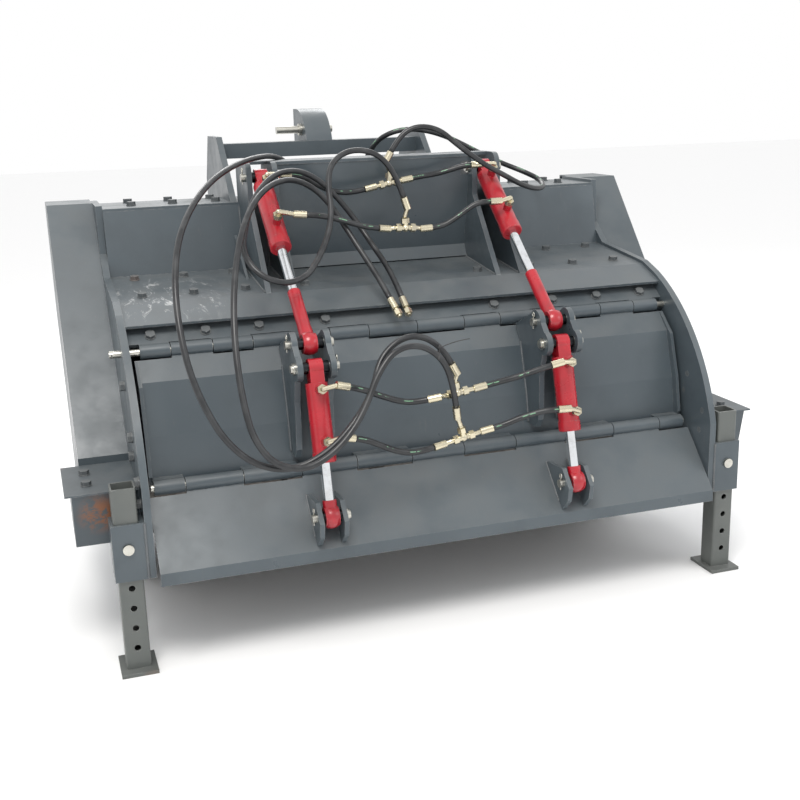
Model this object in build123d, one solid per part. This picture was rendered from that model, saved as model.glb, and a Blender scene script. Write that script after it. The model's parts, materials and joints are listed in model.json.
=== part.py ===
"""Three-point-hitch rotary mulcher with a two-stage hydraulic rear hood.

Millimetres. X runs across the machine, Y forwards to the tractor and Z up from the ground.
The model is laid out from the rear face of the parking-leg sleeves (y = 0), then moved so that
the origin is the middle of the machine's plan, on the ground.
"""
from build123d import *
import math
import os

# ---------------------------------------------------------------- driving dimensions
INNER_HALF = 1037.0        # half of the working width, to the inside of a side plate
SIDE_T = 25.0              # side plate
SHEET = 10.0               # deck, wall, cover and front sheets
HOOD_T = 8.0               # hood and flap sheets
DECK_BACK = (914.0, 1183.5)    # deck meets the upright wall (y, z of the top surface)
DECK_FOLD = (529.0, 1140.0)    # fold between deck and lip
DECK_LIP = (395.0, 1087.0)     # rear edge of the lip
WALL_TOP = (962.0, 1427.0)     # top rear edge of the upright wall
COVER_FRONT_Y = 1250.0     # top cover ends and the front panel begins
FRONT_Y = 1440.0           # front panel stands here
FRONT_FOLD_Z = 1150.0
FRONT_LOW_Z = 760.0
BEAM = 120.0               # square front cross tube
BEAM_T = 10.0

HINGE_OD = 50.0
HINGE_PIN_D = 25.0
RUN_FIT = 0.05             # radial running clearance of a shaft in its bore
KNUCKLE_GAP = 1.5
UPPER_HINGE = (363.0, 1001.5)
LOWER_HINGE = (163.0, 577.5)
HOOD_HALF = 1020.0
FLAP_HALF = 1030.0
UPPER_KNUCKLE_END = 1000.0
LOWER_KNUCKLE_END = 1010.0
LEAF_T = 16.0

STACK_X = 455.0            # both cylinder pairs stand this far from the middle
TOWER_PIN = (807.0, 1539.0)
HOOD_PIN_UPPER = (156.0, 1022.0)
HOOD_PIN_LOWER = (92.0, 953.0)
FLAP_PIN = (-40.0, 468.0)
BARREL_OD = 75.0
ROD_D = 36.0
EYE_W = 48.0
PIN_D = 30.0
SPACER_R = 20.0
EYE_SLACK = 5.5            # the rod eyes swing a little about their pins
CHEEK_T = 20.0
CHEEK_OFFSET = 50.0        # centre of a tower cheek from the cylinder's centre line
EAR_T = 20.0
EAR_OFFSET = 58.0          # hood ears
FLAP_EAR_T = 16.0
FLAP_EAR_OFFSET = 42.0
TOWER_TOP_Z = 1595.0

ROTOR = (720.0, 420.0)     # rotor axis
DRUM_OD = 400.0
TOOTH_TIP_R = 255.0
SHAFT_D = 80.0
UPPER_SHAFT = (1180.0, 1100.0)
UPPER_SHAFT_D = 50.0
PULLEY_UPPER_R = 110.0
PULLEY_LOWER_R = 90.0
PULLEY_W = 70.0
BELT_T = 14.0
COVER_HALF = 1235.0        # outside of the drive covers
BOX_HALF = 1275.0          # outside of the low rear drive boxes
LID_HALF = 1297.0          # their lids stand proud
CASING_T = 6.0

LEG_TUBE = 80.0
LEG_WALL = 6.0
LEG_TOP_Z = 640.0
SLEEVE_WALL = 9.5
SLEEVE_GAP = 0.5
SLEEVE_Z = (328.0, 522.0)
SLEEVE_PAD = 7.0
FOOT = (120.0, 150.0, 12.0)
LEG_HOLE_D = 22.0
LEG_HOLE_FIRST = 86.0
LEG_HOLE_PITCH = 70.6
LEG_PIN_HOLE = 5           # the hole that the pin is in, counted from the lowest

HITCH_X = -95.0            # the hitch stands off the middle
HITCH_HALF = 450.0
HITCH_T = 25.0
LINK_PIN_D = 36.6
LINK_PIN_LEN = 120.0
LINK_PIN_AT = (1487.0, 615.0)
TOP_PIN_D = 31.75
TOP_PIN_AT = (1365.0, 1695.0)
BRACKET_HALF = 56.0
BRACKET_T = 20.0
BRACKET_AXIS = (1450.0, 1600.0)    # centre of the bracket's round back
BRACKET_R = 180.0
BRACKET_FRONT_Y = 1500.0
PTO_D = 34.9
GEARBOX = (240.0, 260.0, 260.0)

BOLT_AF = 30.0             # M20 hexagon head
BOLT_HEAD = 13.0
BOLT_D = 20.0
BOLT_GAP = 0.5
HOSE_D = 21.0
FERRULE_D = 27.0
FERRULE_LEN = 46.0

UP = (0, 0, 1)
ACROSS = (-LID_HALF, LID_HALF)      # a cut right across the machine


# ---------------------------------------------------------------- small helpers
def unit(a, b):
    length = math.hypot(b[0] - a[0], b[1] - a[1])
    return ((b[0] - a[0]) / length, (b[1] - a[1]) / length)


def along(start, direction, distance, side=0.0):
    """Point at a distance along a direction, and to the left of it, in the side view."""
    return (start[0] + direction[0] * distance - direction[1] * side,
            start[1] + direction[1] * distance + direction[0] * side)


def slab(points, x0, x1):
    """Plate with a straight-sided outline in the side view, from x0 to x1."""
    face = Plane.YZ.offset(x0) * make_face(Polyline(*points, close=True))
    return extrude(face, amount=x1 - x0, dir=(1, 0, 0))


def rounded_slab(points, radius, x0, x1):
    sketch = make_face(Polyline(*points, close=True))
    sketch = fillet(sketch.vertices(), radius)
    return extrude(Plane.YZ.offset(x0) * sketch, amount=x1 - x0, dir=(1, 0, 0))


def strip(points, thickness):
    """Outline of a bent sheet: a line of points, thickened to its left."""
    other = []
    last = len(points) - 1
    for i, p in enumerate(points):
        before = unit(points[max(i - 1, 0)], points[max(i, 1)])
        after = unit(points[min(i, last - 1)], points[min(i + 1, last)])
        scale = thickness / (1 + before[0] * after[0] + before[1] * after[1])
        other.append((p[0] - (before[1] + after[1]) * scale,
                      p[1] + (before[0] + after[0]) * scale))
    return list(points) + other[::-1]


def sheet(points, thickness, x0, x1):
    return slab(strip(points, thickness), x0, x1)


def block(x0, x1, y0, y1, z0, z1):
    return Pos((x0 + x1) / 2, (y0 + y1) / 2, (z0 + z1) / 2) * Box(x1 - x0, y1 - y0, z1 - z0)


def rod(start, end, radius):
    direction = Vector(*end) - Vector(*start)
    base = Plane(origin=start, z_dir=direction)
    return base * Cylinder(radius, direction.length, align=(Align.CENTER, Align.CENTER, Align.MIN))


def cone(start, end, r0, r1):
    direction = Vector(*end) - Vector(*start)
    base = Plane(origin=start, z_dir=direction)
    return base * Cone(r0, r1, direction.length, align=(Align.CENTER, Align.CENTER, Align.MIN))


def cross_rod(x0, x1, at, radius):
    """Round bar lying across the machine."""
    return rod((x0, *at), (x1, *at), radius)


def hexagon(start, end, across_flats):
    direction = Vector(*end) - Vector(*start)
    base = Plane(origin=start, z_dir=direction)
    profile = RegularPolygon(across_flats / 2, 6, major_radius=False)
    return extrude(base * profile, amount=direction.length, dir=direction.normalized())


def mirrored(shape):
    return mirror(shape, about=Plane.YZ)


def both(shape):
    return [shape, mirrored(shape)]


def fuse(parts):
    total = parts[0]
    for piece in parts[1:]:
        total = total + piece
    return total


def cut(shape, tools):
    for tool in tools:
        shape = shape - tool
    return shape


def height_on(a, b, y):
    return a[1] + (b[1] - a[1]) * (y - a[0]) / (b[0] - a[0])


# ---------------------------------------------------------------- bolts
def bolt(point, normal, grip):
    """Hexagon bolt with a washer; the shank goes through the plate under its head."""
    n = Vector(*normal).normalized()
    p = Vector(*point)
    washer_t = 3.0
    washer = rod(tuple(p), tuple(p + n * washer_t), BOLT_D * 0.95)
    head = hexagon(tuple(p + n * washer_t), tuple(p + n * (washer_t + BOLT_HEAD)), BOLT_AF)
    shank = rod(tuple(p - n * grip), tuple(p + n * washer_t), BOLT_D / 2)
    return washer + head + shank


def bolt_hole(point, normal, grip):
    n = Vector(*normal).normalized()
    p = Vector(*point)
    return rod(tuple(p - n * (grip + 1)), tuple(p + n), BOLT_D / 2 + BOLT_GAP)


# ---------------------------------------------------------------- body shell
deck_rise = unit(DECK_FOLD, DECK_BACK)
deck_up = (0, -deck_rise[1], deck_rise[0])
lip_rise = unit(DECK_LIP, DECK_FOLD)
wall_rise = unit(DECK_BACK, WALL_TOP)
cover_top = WALL_TOP[1] + SHEET

deck_bolt_x = [350.0, 575.0, 765.0, 950.0]
deck_bolts = []
for row_y in (612.0, 855.0):
    row_z = height_on(DECK_FOLD, DECK_BACK, row_y)
    for x in deck_bolt_x[0 if row_y < 700 else 1:]:
        deck_bolts += [((x, row_y, row_z), deck_up, SHEET), ((-x, row_y, row_z), deck_up, SHEET)]
cover_bolts = []
for row_y in (1062.0, 1205.0):
    for x in (180.0, 590.0, 760.0, 920.0):
        cover_bolts += [((x, row_y, cover_top), UP, SHEET), ((-x, row_y, cover_top), UP, SHEET)]

deck = sheet([DECK_BACK, DECK_FOLD, DECK_LIP], SHEET, -INNER_HALF, INNER_HALF)
deck = cut(deck, [bolt_hole(*b) for b in deck_bolts])

wall = slab([DECK_BACK, WALL_TOP, (WALL_TOP[0] + SHEET, WALL_TOP[1]),
             (DECK_BACK[0] + SHEET, DECK_BACK[1])], -INNER_HALF, INNER_HALF)

front_line = [(FRONT_Y, FRONT_LOW_Z), (FRONT_Y, FRONT_FOLD_Z), (COVER_FRONT_Y, cover_top),
              (WALL_TOP[0], cover_top)]
front_cover = sheet(front_line, SHEET, -INNER_HALF, INNER_HALF)
front_cover = cut(front_cover, [bolt_hole(*b) for b in cover_bolts])

beam_y = (FRONT_Y - BEAM, FRONT_Y)
beam_z = (FRONT_LOW_Z - BEAM, FRONT_LOW_Z)
front_beam = block(-INNER_HALF, INNER_HALF, *beam_y, *beam_z)
front_beam -= block(-INNER_HALF, INNER_HALF, beam_y[0] + BEAM_T, beam_y[1] - BEAM_T,
                    beam_z[0] + BEAM_T, beam_z[1] - BEAM_T)

# curved plate over the rotor, between the front beam and the deck
housing_r = TOOTH_TIP_R + 35.0
housing_t = 12.0
housing = cross_rod(-INNER_HALF, INNER_HALF, ROTOR, housing_r + housing_t)
housing -= cross_rod(-INNER_HALF - 1, INNER_HALF + 1, ROTOR, housing_r)
keep = slab([ROTOR, (ROTOR[0] + 700, ROTOR[1] + 60), (ROTOR[0] + 700, ROTOR[1] + 700),
             (ROTOR[0] - 260, ROTOR[1] + 700)], -INNER_HALF, INNER_HALF)
housing = housing & keep

# ---------------------------------------------------------------- side plates
proud = 12.0
arc_top = (DECK_LIP[0] + 45.0, DECK_LIP[1] + 33.0)
arc_mid = (150.0, 897.0)
side_low_y = 760.0
side_low_z = 62.0


def side_plate_face():
    deck_line = [arc_top, (DECK_FOLD[0], DECK_FOLD[1] + proud),
                 (DECK_BACK[0] - 50, height_on(DECK_FOLD, DECK_BACK, DECK_BACK[0] - 50) + proud),
                 (WALL_TOP[0], DECK_BACK[1] + 85), (WALL_TOP[0] + 14, cover_top + proud),
                 (COVER_FRONT_Y, cover_top + proud), (FRONT_Y, FRONT_FOLD_Z),
                 (FRONT_Y, side_low_z), (side_low_y, side_low_z), (120.0, SLEEVE_Z[0]),
                 (0.0, SLEEVE_Z[0]), (0.0, SLEEVE_Z[1] + 80)]
    outline = Polyline(*deck_line) + ThreePointArc(deck_line[-1], arc_mid, arc_top)
    return make_face(outline)


side_bolts = []
for y, z in ((300.0, 905.0), (170.0, 760.0), (190.0, 690.0), (60.0, 640.0), (75.0, 560.0)):
    side_bolts.append(((INNER_HALF + SIDE_T, y, z), (1, 0, 0), SIDE_T))
side_plate = extrude(Plane.YZ.offset(INNER_HALF) * side_plate_face(), amount=SIDE_T, dir=(1, 0, 0))
side_plate = cut(side_plate, [bolt_hole(*b) for b in side_bolts])
side_out = INNER_HALF + SIDE_T
side_plate -= cross_rod(INNER_HALF - 1, side_out + 1, UPPER_HINGE, HINGE_PIN_D / 2 + RUN_FIT)
side_plate -= cross_rod(INNER_HALF - 1, side_out + 1, ROTOR, SHAFT_D / 2 + 8)
side_plate -= cross_rod(INNER_HALF - 1, side_out + 1, UPPER_SHAFT, UPPER_SHAFT_D / 2 + 5)

# wear shoe under each side plate
skid = slab([(side_low_y - 30, side_low_z), (side_low_y - 30, side_low_z - 16),
             (side_low_y + 60, 0), (FRONT_Y - 90, 0), (FRONT_Y, side_low_z - 10),
             (FRONT_Y, side_low_z)], INNER_HALF - 12, side_out)

# ---------------------------------------------------------------- upper hinge
leaf_dir = unit(UPPER_HINGE, (424.0, 1047.0))
upper_ends = [UPPER_KNUCKLE_END, 895.0, 750.0, 610.0, 470.0, 330.0, 185.0, 0.0]
lower_ends = [LOWER_KNUCKLE_END, 905.0, 707.0, 505.0, 304.0, 100.0]


def mirrored_spans(spans):
    return spans + [(-b, -a) for a, b in spans]


def spans_between(ends):
    """Knuckles of a hinge, from its right end inwards; they belong to its two sides in turn."""
    return [(inner, outer) for outer, inner in zip(ends, ends[1:])]


frame_spans = mirrored_spans(spans_between(upper_ends)[::2])
hood_spans = mirrored_spans(spans_between(upper_ends)[1::2])
hood_low_spans = mirrored_spans(spans_between(lower_ends)[::2])
flap_spans = mirrored_spans(spans_between(lower_ends)[1::2]) + [(-lower_ends[-1], lower_ends[-1])]


def knuckle(span, at):
    return cross_rod(span[0] + KNUCKLE_GAP, span[1] - KNUCKLE_GAP, at, HINGE_OD / 2)


def hinge_bore(at):
    return cross_rod(*ACROSS, at, HINGE_PIN_D / 2 + RUN_FIT)


leaf_clear = HINGE_OD / 2 + 4.0
leaf_end = along(UPPER_HINGE, leaf_dir, 190.0)
leaf_start = along(UPPER_HINGE, leaf_dir, leaf_clear)
leaf = sheet([along(leaf_start, leaf_dir, 0, -LEAF_T / 2), along(leaf_end, leaf_dir, 0, -LEAF_T / 2)],
             LEAF_T, -INNER_HALF, INNER_HALF)
leaf_parts = [leaf]
for span in frame_spans:
    tab_start = along(UPPER_HINGE, leaf_dir, HINGE_OD / 4, -LEAF_T / 2)
    tab_end = along(leaf_start, leaf_dir, 10, -LEAF_T / 2)
    leaf_parts.append(sheet([tab_start, tab_end], LEAF_T, span[0] + KNUCKLE_GAP, span[1] - KNUCKLE_GAP))
    leaf_parts.append(knuckle(span, UPPER_HINGE))
hinge_leaf = fuse(leaf_parts) - hinge_bore(UPPER_HINGE)
deck_under = slab([along(DECK_LIP, lip_rise, -60, -SHEET), along(DECK_FOLD, lip_rise, 60, -SHEET),
                   (DECK_FOLD[0] + 60, 1400), (DECK_LIP[0] - 60, 1400)], *ACROSS)
hinge_leaf -= deck_under

leaf_up = (0, -leaf_dir[1], leaf_dir[0])
leaf_bolts = []
for x in (330.0, 574.0, 763.0, 954.0):
    y, z = along(UPPER_HINGE, leaf_dir, 62.0, LEAF_T / 2)
    leaf_bolts += [((x, y, z), leaf_up, LEAF_T), ((-x, y, z), leaf_up, LEAF_T)]
hinge_leaf = cut(hinge_leaf, [bolt_hole(*b) for b in leaf_bolts])

upper_hinge_pin = cross_rod(-side_out - 38, side_out + 38, UPPER_HINGE, HINGE_PIN_D / 2)
for side in (-1, 1):
    end = side * (side_out + 30)
    upper_hinge_pin -= rod((end, UPPER_HINGE[0] - 30, UPPER_HINGE[1]),
                           (end, UPPER_HINGE[0] + 30, UPPER_HINGE[1]), 3.0)

# ---------------------------------------------------------------- rear hood
hood_bends = [(280.0, 912.0), (229.0, 735.0), (203.0, 565.0)]
hood_dir = unit(UPPER_HINGE, hood_bends[0])
hood_gap = HINGE_OD / 2 + 8.0
hood_start = along(UPPER_HINGE, hood_dir, hood_gap)
shell = sheet([hood_start] + hood_bends, HOOD_T, -HOOD_HALF, HOOD_HALF)
hood_parts = [shell]
for span in hood_spans:
    tab = sheet([along(UPPER_HINGE, hood_dir, HINGE_OD / 4), along(hood_start, hood_dir, 45)],
                HOOD_T + 3, span[0] + KNUCKLE_GAP, span[1] - KNUCKLE_GAP)
    hood_parts += [tab, knuckle(span, UPPER_HINGE)]
for span in hood_low_spans:
    foot_y = hood_bends[-1][0]
    tab = block(span[0] + KNUCKLE_GAP, span[1] - KNUCKLE_GAP, LOWER_HINGE[0] + HINGE_OD / 2 - 8,
                foot_y + HOOD_T, hood_bends[-1][1], LOWER_HINGE[1] + 22)
    hood_parts += [tab, knuckle(span, LOWER_HINGE)]
flange_h = 27.0            # the end plates stand proud behind the sheet
end_t = 12.0
end_outline = [along(hood_start, hood_dir, 4, -4), (hood_bends[0][0] - flange_h, hood_bends[0][1] - 8),
               (hood_bends[1][0] - flange_h, hood_bends[1][1] + 5),
               (hood_bends[2][0] - 24, LOWER_HINGE[1] + 33), (hood_bends[2][0] - 4, hood_bends[2][1]),
               (hood_bends[2][0] + 40, hood_bends[2][1]), (hood_bends[1][0] + 70, hood_bends[1][1]),
               along(hood_start, hood_dir, 4, 60)]
for side in (1, -1):
    x0, x1 = sorted((side * (HOOD_HALF - end_t), side * HOOD_HALF))
    hood_parts.append(slab(end_outline, x0, x1))
hood_shell = cut(fuse(hood_parts), [hinge_bore(UPPER_HINGE), hinge_bore(LOWER_HINGE)])

# double-lobed ears that run down the hood as ribs, on a pad strip
lobe_r = 43.0
rib_foot = (150.0, 628.0)


def ear_profile():
    lobes = [Pos(*HOOD_PIN_UPPER) * Circle(lobe_r), Pos(*HOOD_PIN_LOWER) * Circle(lobe_r)]
    waist_dir = unit(HOOD_PIN_UPPER, HOOD_PIN_LOWER)
    waist_half = 34.0
    waist = make_face(Polyline(along(HOOD_PIN_UPPER, waist_dir, 0, waist_half),
                               along(HOOD_PIN_UPPER, waist_dir, 0, -waist_half),
                               along(HOOD_PIN_LOWER, waist_dir, 0, -waist_half),
                               along(HOOD_PIN_LOWER, waist_dir, 0, waist_half), close=True))
    web = make_face(Polyline((160.0, 1064.0), (330.0, 985.0), hood_bends[0], hood_bends[1],
                             (hood_bends[2][0] + 2, rib_foot[1]), rib_foot, (128.0, 660.0), (122.0, 735.0),
                             (122.0, 830.0), (100.0, 910.5), HOOD_PIN_LOWER, HOOD_PIN_UPPER, close=True))
    return lobes[0] + lobes[1] + waist + web


hood_ears = []
ear_bores = []
for stack in (-STACK_X, STACK_X):
    for step in (-EAR_OFFSET, EAR_OFFSET):
        x0 = stack + step - EAR_T / 2
        ear = extrude(Plane.YZ.offset(x0) * ear_profile(), amount=EAR_T, dir=(1, 0, 0))
        hood_ears.append(ear)
    ear_bores += [cross_rod(stack - 90, stack + 90, HOOD_PIN_UPPER, PIN_D / 2),
                  cross_rod(stack - 90, stack + 90, HOOD_PIN_LOWER, PIN_D / 2)]
hood_region = slab([along(hood_start, hood_dir, -40), *hood_bends, (500.0, hood_bends[-1][1]),
                    (500.0, 985.0)], *ACROSS)
frame_clear = cross_rod(*ACROSS, UPPER_HINGE, HINGE_OD / 2 + 8)
hood_ears = [cut(ear, [hood_region, frame_clear] + ear_bores) for ear in hood_ears]

ear_span = EAR_OFFSET + EAR_T / 2
hood_pins = []


def clevis_pin(stack, at, half, plate_t, head_side):
    """Pin with a shouldered head, a cotter ring and spacer tubes on both sides of the eye."""
    tail = -head_side
    body = cross_rod(stack - half - 16, stack + half + 16, at, PIN_D / 2)
    head = cross_rod(stack + head_side * half, stack + head_side * (half + 8), at, PIN_D / 2 + 6)
    ring_x = stack + tail * (half + 9)
    hole = rod((ring_x, at[0], at[1] - 30), (ring_x, at[0], at[1] + 30), 3.2)
    cotter = rod((ring_x, at[0], at[1] - 24), (ring_x, at[0], at[1] + 22), 2.6)
    bow = Pos(ring_x, at[0], at[1] + 28) * Rot(0, 90, 0) * Torus(7.5, 2.4)
    pieces = [body + head - hole, cotter + bow]
    for side in (-1, 1):
        ends = (stack + side * (EYE_W / 2 + 0.5), stack + side * (half - plate_t))
        pieces.append(cross_rod(min(ends), max(ends), at, SPACER_R)
                      - cross_rod(min(ends) - 1, max(ends) + 1, at, PIN_D / 2))
    return pieces


for stack in (-STACK_X, STACK_X):
    hood_pins += clevis_pin(stack, HOOD_PIN_UPPER, ear_span, EAR_T, 1)
    hood_pins += clevis_pin(stack, HOOD_PIN_LOWER, ear_span, EAR_T, -1)

lower_hinge_pin = cross_rod(-HOOD_HALF + 2, HOOD_HALF - 2, LOWER_HINGE, HINGE_PIN_D / 2)

# ---------------------------------------------------------------- flap
flap_fold = (-45.0, 355.0)
flap_tip = (-48.0, 313.0)
flap_dir = unit(LOWER_HINGE, flap_fold)
flap_start = along(LOWER_HINGE, flap_dir, hood_gap)
flap_parts = [sheet([flap_start, flap_fold, flap_tip], HOOD_T, -FLAP_HALF, FLAP_HALF)]
for span in flap_spans:
    tab = sheet([along(LOWER_HINGE, flap_dir, HINGE_OD / 4), along(flap_start, flap_dir, 40)],
                HOOD_T + 3, span[0] + KNUCKLE_GAP, span[1] - KNUCKLE_GAP)
    flap_parts += [tab, knuckle(span, LOWER_HINGE)]
flap_plate = fuse(flap_parts) - hinge_bore(LOWER_HINGE)


def on_flap(distance, height):
    return along(LOWER_HINGE, flap_dir, distance, -height)


flap_ears = []
flap_pins = []
flap_ear_outline = [on_flap(100, 0), on_flap(104, 14), on_flap(176, 104), on_flap(258, 104),
                    on_flap(288, 62), on_flap(290, 0)]
for stack in (-STACK_X, STACK_X):
    for step in (-FLAP_EAR_OFFSET, FLAP_EAR_OFFSET):
        x0 = stack + step - FLAP_EAR_T / 2
        ear = rounded_slab(flap_ear_outline, 6.0, x0, x0 + FLAP_EAR_T)
        ear -= slab([on_flap(0, 0), on_flap(400, 0), on_flap(400, -60), on_flap(0, -60)], *ACROSS)
        flap_ears.append(ear - cross_rod(stack - 90, stack + 90, FLAP_PIN, PIN_D / 2))
    flap_pins += clevis_pin(stack, FLAP_PIN, FLAP_EAR_OFFSET + FLAP_EAR_T / 2, FLAP_EAR_T, 1)

# ---------------------------------------------------------------- cylinders
barrel_from = 52.0
upper_len = math.dist(TOWER_PIN, HOOD_PIN_UPPER)
lower_len = math.dist(HOOD_PIN_LOWER, FLAP_PIN)
upper_dir = unit(TOWER_PIN, HOOD_PIN_UPPER)
lower_dir = unit(HOOD_PIN_LOWER, FLAP_PIN)
UPPER_GLAND = 380.0
LOWER_GLAND = 320.0
UPPER_EYE_NECK = 595.0
LOWER_EYE_NECK = 447.0
UPPER_PISTON = 302.0
LOWER_PISTON = 212.0
PISTON_LEN = 32.0
GLAND_LEN = 36.0
BORE_R = BARREL_OD / 2 - 6.0
BOSS_H = 24.0
BOSS_R = 16.0
BASE_PLUG = 12.0
BASE_EYE_R = 30.0
BASE_NECK_HALF = 27.0
ROD_EYE_R = 34.0
UPPER_NECK_R = 23.0
LOWER_NECK_R = 24.0
UPPER_PORTS = (88.0, 285.0)
LOWER_PORTS = (76.0, 250.0)


def at(start, direction, distance, x, side=0.0):
    return (x, *along(start, direction, distance, side))


def barrel(start, direction, gland_end, ports, stack, outward):
    """Cylinder barrel with its narrow base eye, screwed gland and two port bosses."""
    tongue = cross_rod(stack - EYE_W / 2, stack + EYE_W / 2, start, BASE_EYE_R)
    tongue += slab([along(start, direction, 0, BASE_NECK_HALF),
                    along(start, direction, barrel_from + 4, BASE_NECK_HALF),
                    along(start, direction, barrel_from + 4, -BASE_NECK_HALF),
                    along(start, direction, 0, -BASE_NECK_HALF)], stack - EYE_W / 2, stack + EYE_W / 2)
    gland_start = gland_end - GLAND_LEN
    body = rod(at(start, direction, barrel_from, stack), at(start, direction, gland_start, stack),
               BARREL_OD / 2)
    body += rod(at(start, direction, gland_start, stack), at(start, direction, gland_end - 3, stack),
                BARREL_OD / 2 + 2)
    body += cone(at(start, direction, gland_end - 3, stack), at(start, direction, gland_end, stack),
                 BARREL_OD / 2 + 2, BARREL_OD / 2 - 1)
    shape = tongue + body
    for s in ports:
        boss_end = outward * (BARREL_OD / 2 + BOSS_H)
        shape += rod(at(start, direction, s, stack, outward * 20),
                     at(start, direction, s, stack, boss_end), BOSS_R)
    shape -= rod(at(start, direction, barrel_from + BASE_PLUG, stack),
                 at(start, direction, gland_start, stack), BORE_R)
    shape -= rod(at(start, direction, gland_start - 1, stack), at(start, direction, gland_end + 1, stack),
                 ROD_D / 2 + RUN_FIT)
    return shape - cross_rod(stack - EYE_W, stack + EYE_W, start, PIN_D / 2 + RUN_FIT)


def chrome_rod(start, direction, piston_at, neck, stack):
    shaft = rod(at(start, direction, piston_at, stack), at(start, direction, neck, stack), ROD_D / 2)
    return shaft + rod(at(start, direction, piston_at, stack),
                       at(start, direction, piston_at + PISTON_LEN, stack), BORE_R - RUN_FIT)


def rod_eye(start, direction, neck, length, stack, neck_r):
    """Rod end: a turned neck that widens into the eye when it is long enough."""
    eye_at = along(start, direction, length)
    throat = length - ROD_EYE_R + 4
    shape = rod(at(start, direction, neck, stack), at(start, direction, throat, stack), neck_r)
    if length - neck > 4 * ROD_EYE_R:
        shape += cone(at(start, direction, throat - 2 * ROD_EYE_R, stack),
                      at(start, direction, throat, stack), neck_r - 1, ROD_EYE_R - 8)
    ball = Pos(stack, *eye_at) * Sphere(ROD_EYE_R + 6)
    cheeks = block(stack - EYE_W / 2, stack + EYE_W / 2, eye_at[0] - 2 * ROD_EYE_R,
                   eye_at[0] + 2 * ROD_EYE_R, eye_at[1] - 2 * ROD_EYE_R, eye_at[1] + 2 * ROD_EYE_R)
    eye = cross_rod(stack - EYE_W / 2, stack + EYE_W / 2, eye_at, ROD_EYE_R)
    shape += (ball & cheeks) + eye
    return shape - cross_rod(stack - EYE_W, stack + EYE_W, eye_at, PIN_D / 2 + EYE_SLACK)


upper_barrels, upper_rods, upper_eyes = [], [], []
lower_barrels, lower_rods, lower_eyes = [], [], []
for stack in (-STACK_X, STACK_X):
    upper_barrels.append(barrel(TOWER_PIN, upper_dir, UPPER_GLAND, UPPER_PORTS, stack, -1))
    upper_rods.append(chrome_rod(TOWER_PIN, upper_dir, UPPER_PISTON, UPPER_EYE_NECK, stack))
    upper_eyes.append(rod_eye(TOWER_PIN, upper_dir, UPPER_EYE_NECK, upper_len, stack, UPPER_NECK_R))
    lower_barrels.append(barrel(HOOD_PIN_LOWER, lower_dir, LOWER_GLAND, LOWER_PORTS, stack, -1))
    lower_rods.append(chrome_rod(HOOD_PIN_LOWER, lower_dir, LOWER_PISTON, LOWER_EYE_NECK, stack))
    lower_eyes.append(rod_eye(HOOD_PIN_LOWER, lower_dir, LOWER_EYE_NECK, lower_len, stack, LOWER_NECK_R))

# ---------------------------------------------------------------- cylinder tower
panel_half = STACK_X - CHEEK_OFFSET - CHEEK_T / 2
cheek_outline = [(775.0, TOWER_TOP_Z), (765.0, 1500.0), (765.0, 1432.0), DECK_FOLD, DECK_BACK,
                 WALL_TOP, (WALL_TOP[0], cover_top), (985.0, cover_top), (985.0, TOWER_TOP_Z)]
cheek_corner_r = 40.0
panel_foot = (846.0, height_on(DECK_FOLD, DECK_BACK, 846.0))
tower_parts = [sheet([panel_foot, (872.0, 1225.0), (800.0, TOWER_TOP_Z - 6)], SHEET, -panel_half, panel_half)]
tower_parts.append(block(-panel_half, panel_half, 788.0, 950.0, TOWER_TOP_Z - 12, TOWER_TOP_Z))
tower_cap = (862.0, 985.0 - cheek_corner_r)


def cheek(x0):
    """Upright plate of the tower, with its two top corners rounded."""
    face = make_face(Polyline(*cheek_outline, close=True))
    top_corners = face.vertices().sort_by(Axis.Y)[-2:]
    face = fillet(top_corners, cheek_corner_r)
    return extrude(Plane.YZ.offset(x0) * face, amount=CHEEK_T, dir=(1, 0, 0))


for stack in (-STACK_X, STACK_X):
    for step in (-CHEEK_OFFSET, CHEEK_OFFSET):
        x0 = stack + step - CHEEK_T / 2
        tower_parts.append(cheek(x0))
    tower_parts.append(block(stack - CHEEK_OFFSET, stack + CHEEK_OFFSET, *tower_cap,
                             TOWER_TOP_Z - 12, TOWER_TOP_Z))
gusset = slab([(DECK_BACK[0], DECK_BACK[1]), along(DECK_BACK, wall_rise, 130),
               (740.0, height_on(DECK_FOLD, DECK_BACK, 740.0))],
              STACK_X + CHEEK_OFFSET + 30, STACK_X + CHEEK_OFFSET + 40)
tower_frame = fuse(tower_parts)
pin_head_room = cross_rod(-panel_half, -panel_half + 34, TOWER_PIN, 27.0)
cheek_reach = STACK_X + CHEEK_OFFSET + CHEEK_T / 2 + 1
cheek_bore = cross_rod(-cheek_reach, -panel_half + 1, TOWER_PIN, PIN_D / 2)
tower_frame = cut(tower_frame, [cheek_bore, mirrored(cheek_bore), pin_head_room, mirrored(pin_head_room)])
tower_gussets = both(gusset)

tower_pins = []
for stack in (-STACK_X, STACK_X):
    tower_pins += clevis_pin(stack, TOWER_PIN, CHEEK_OFFSET + CHEEK_T / 2, CHEEK_T, -1 if stack > 0 else 1)

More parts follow.
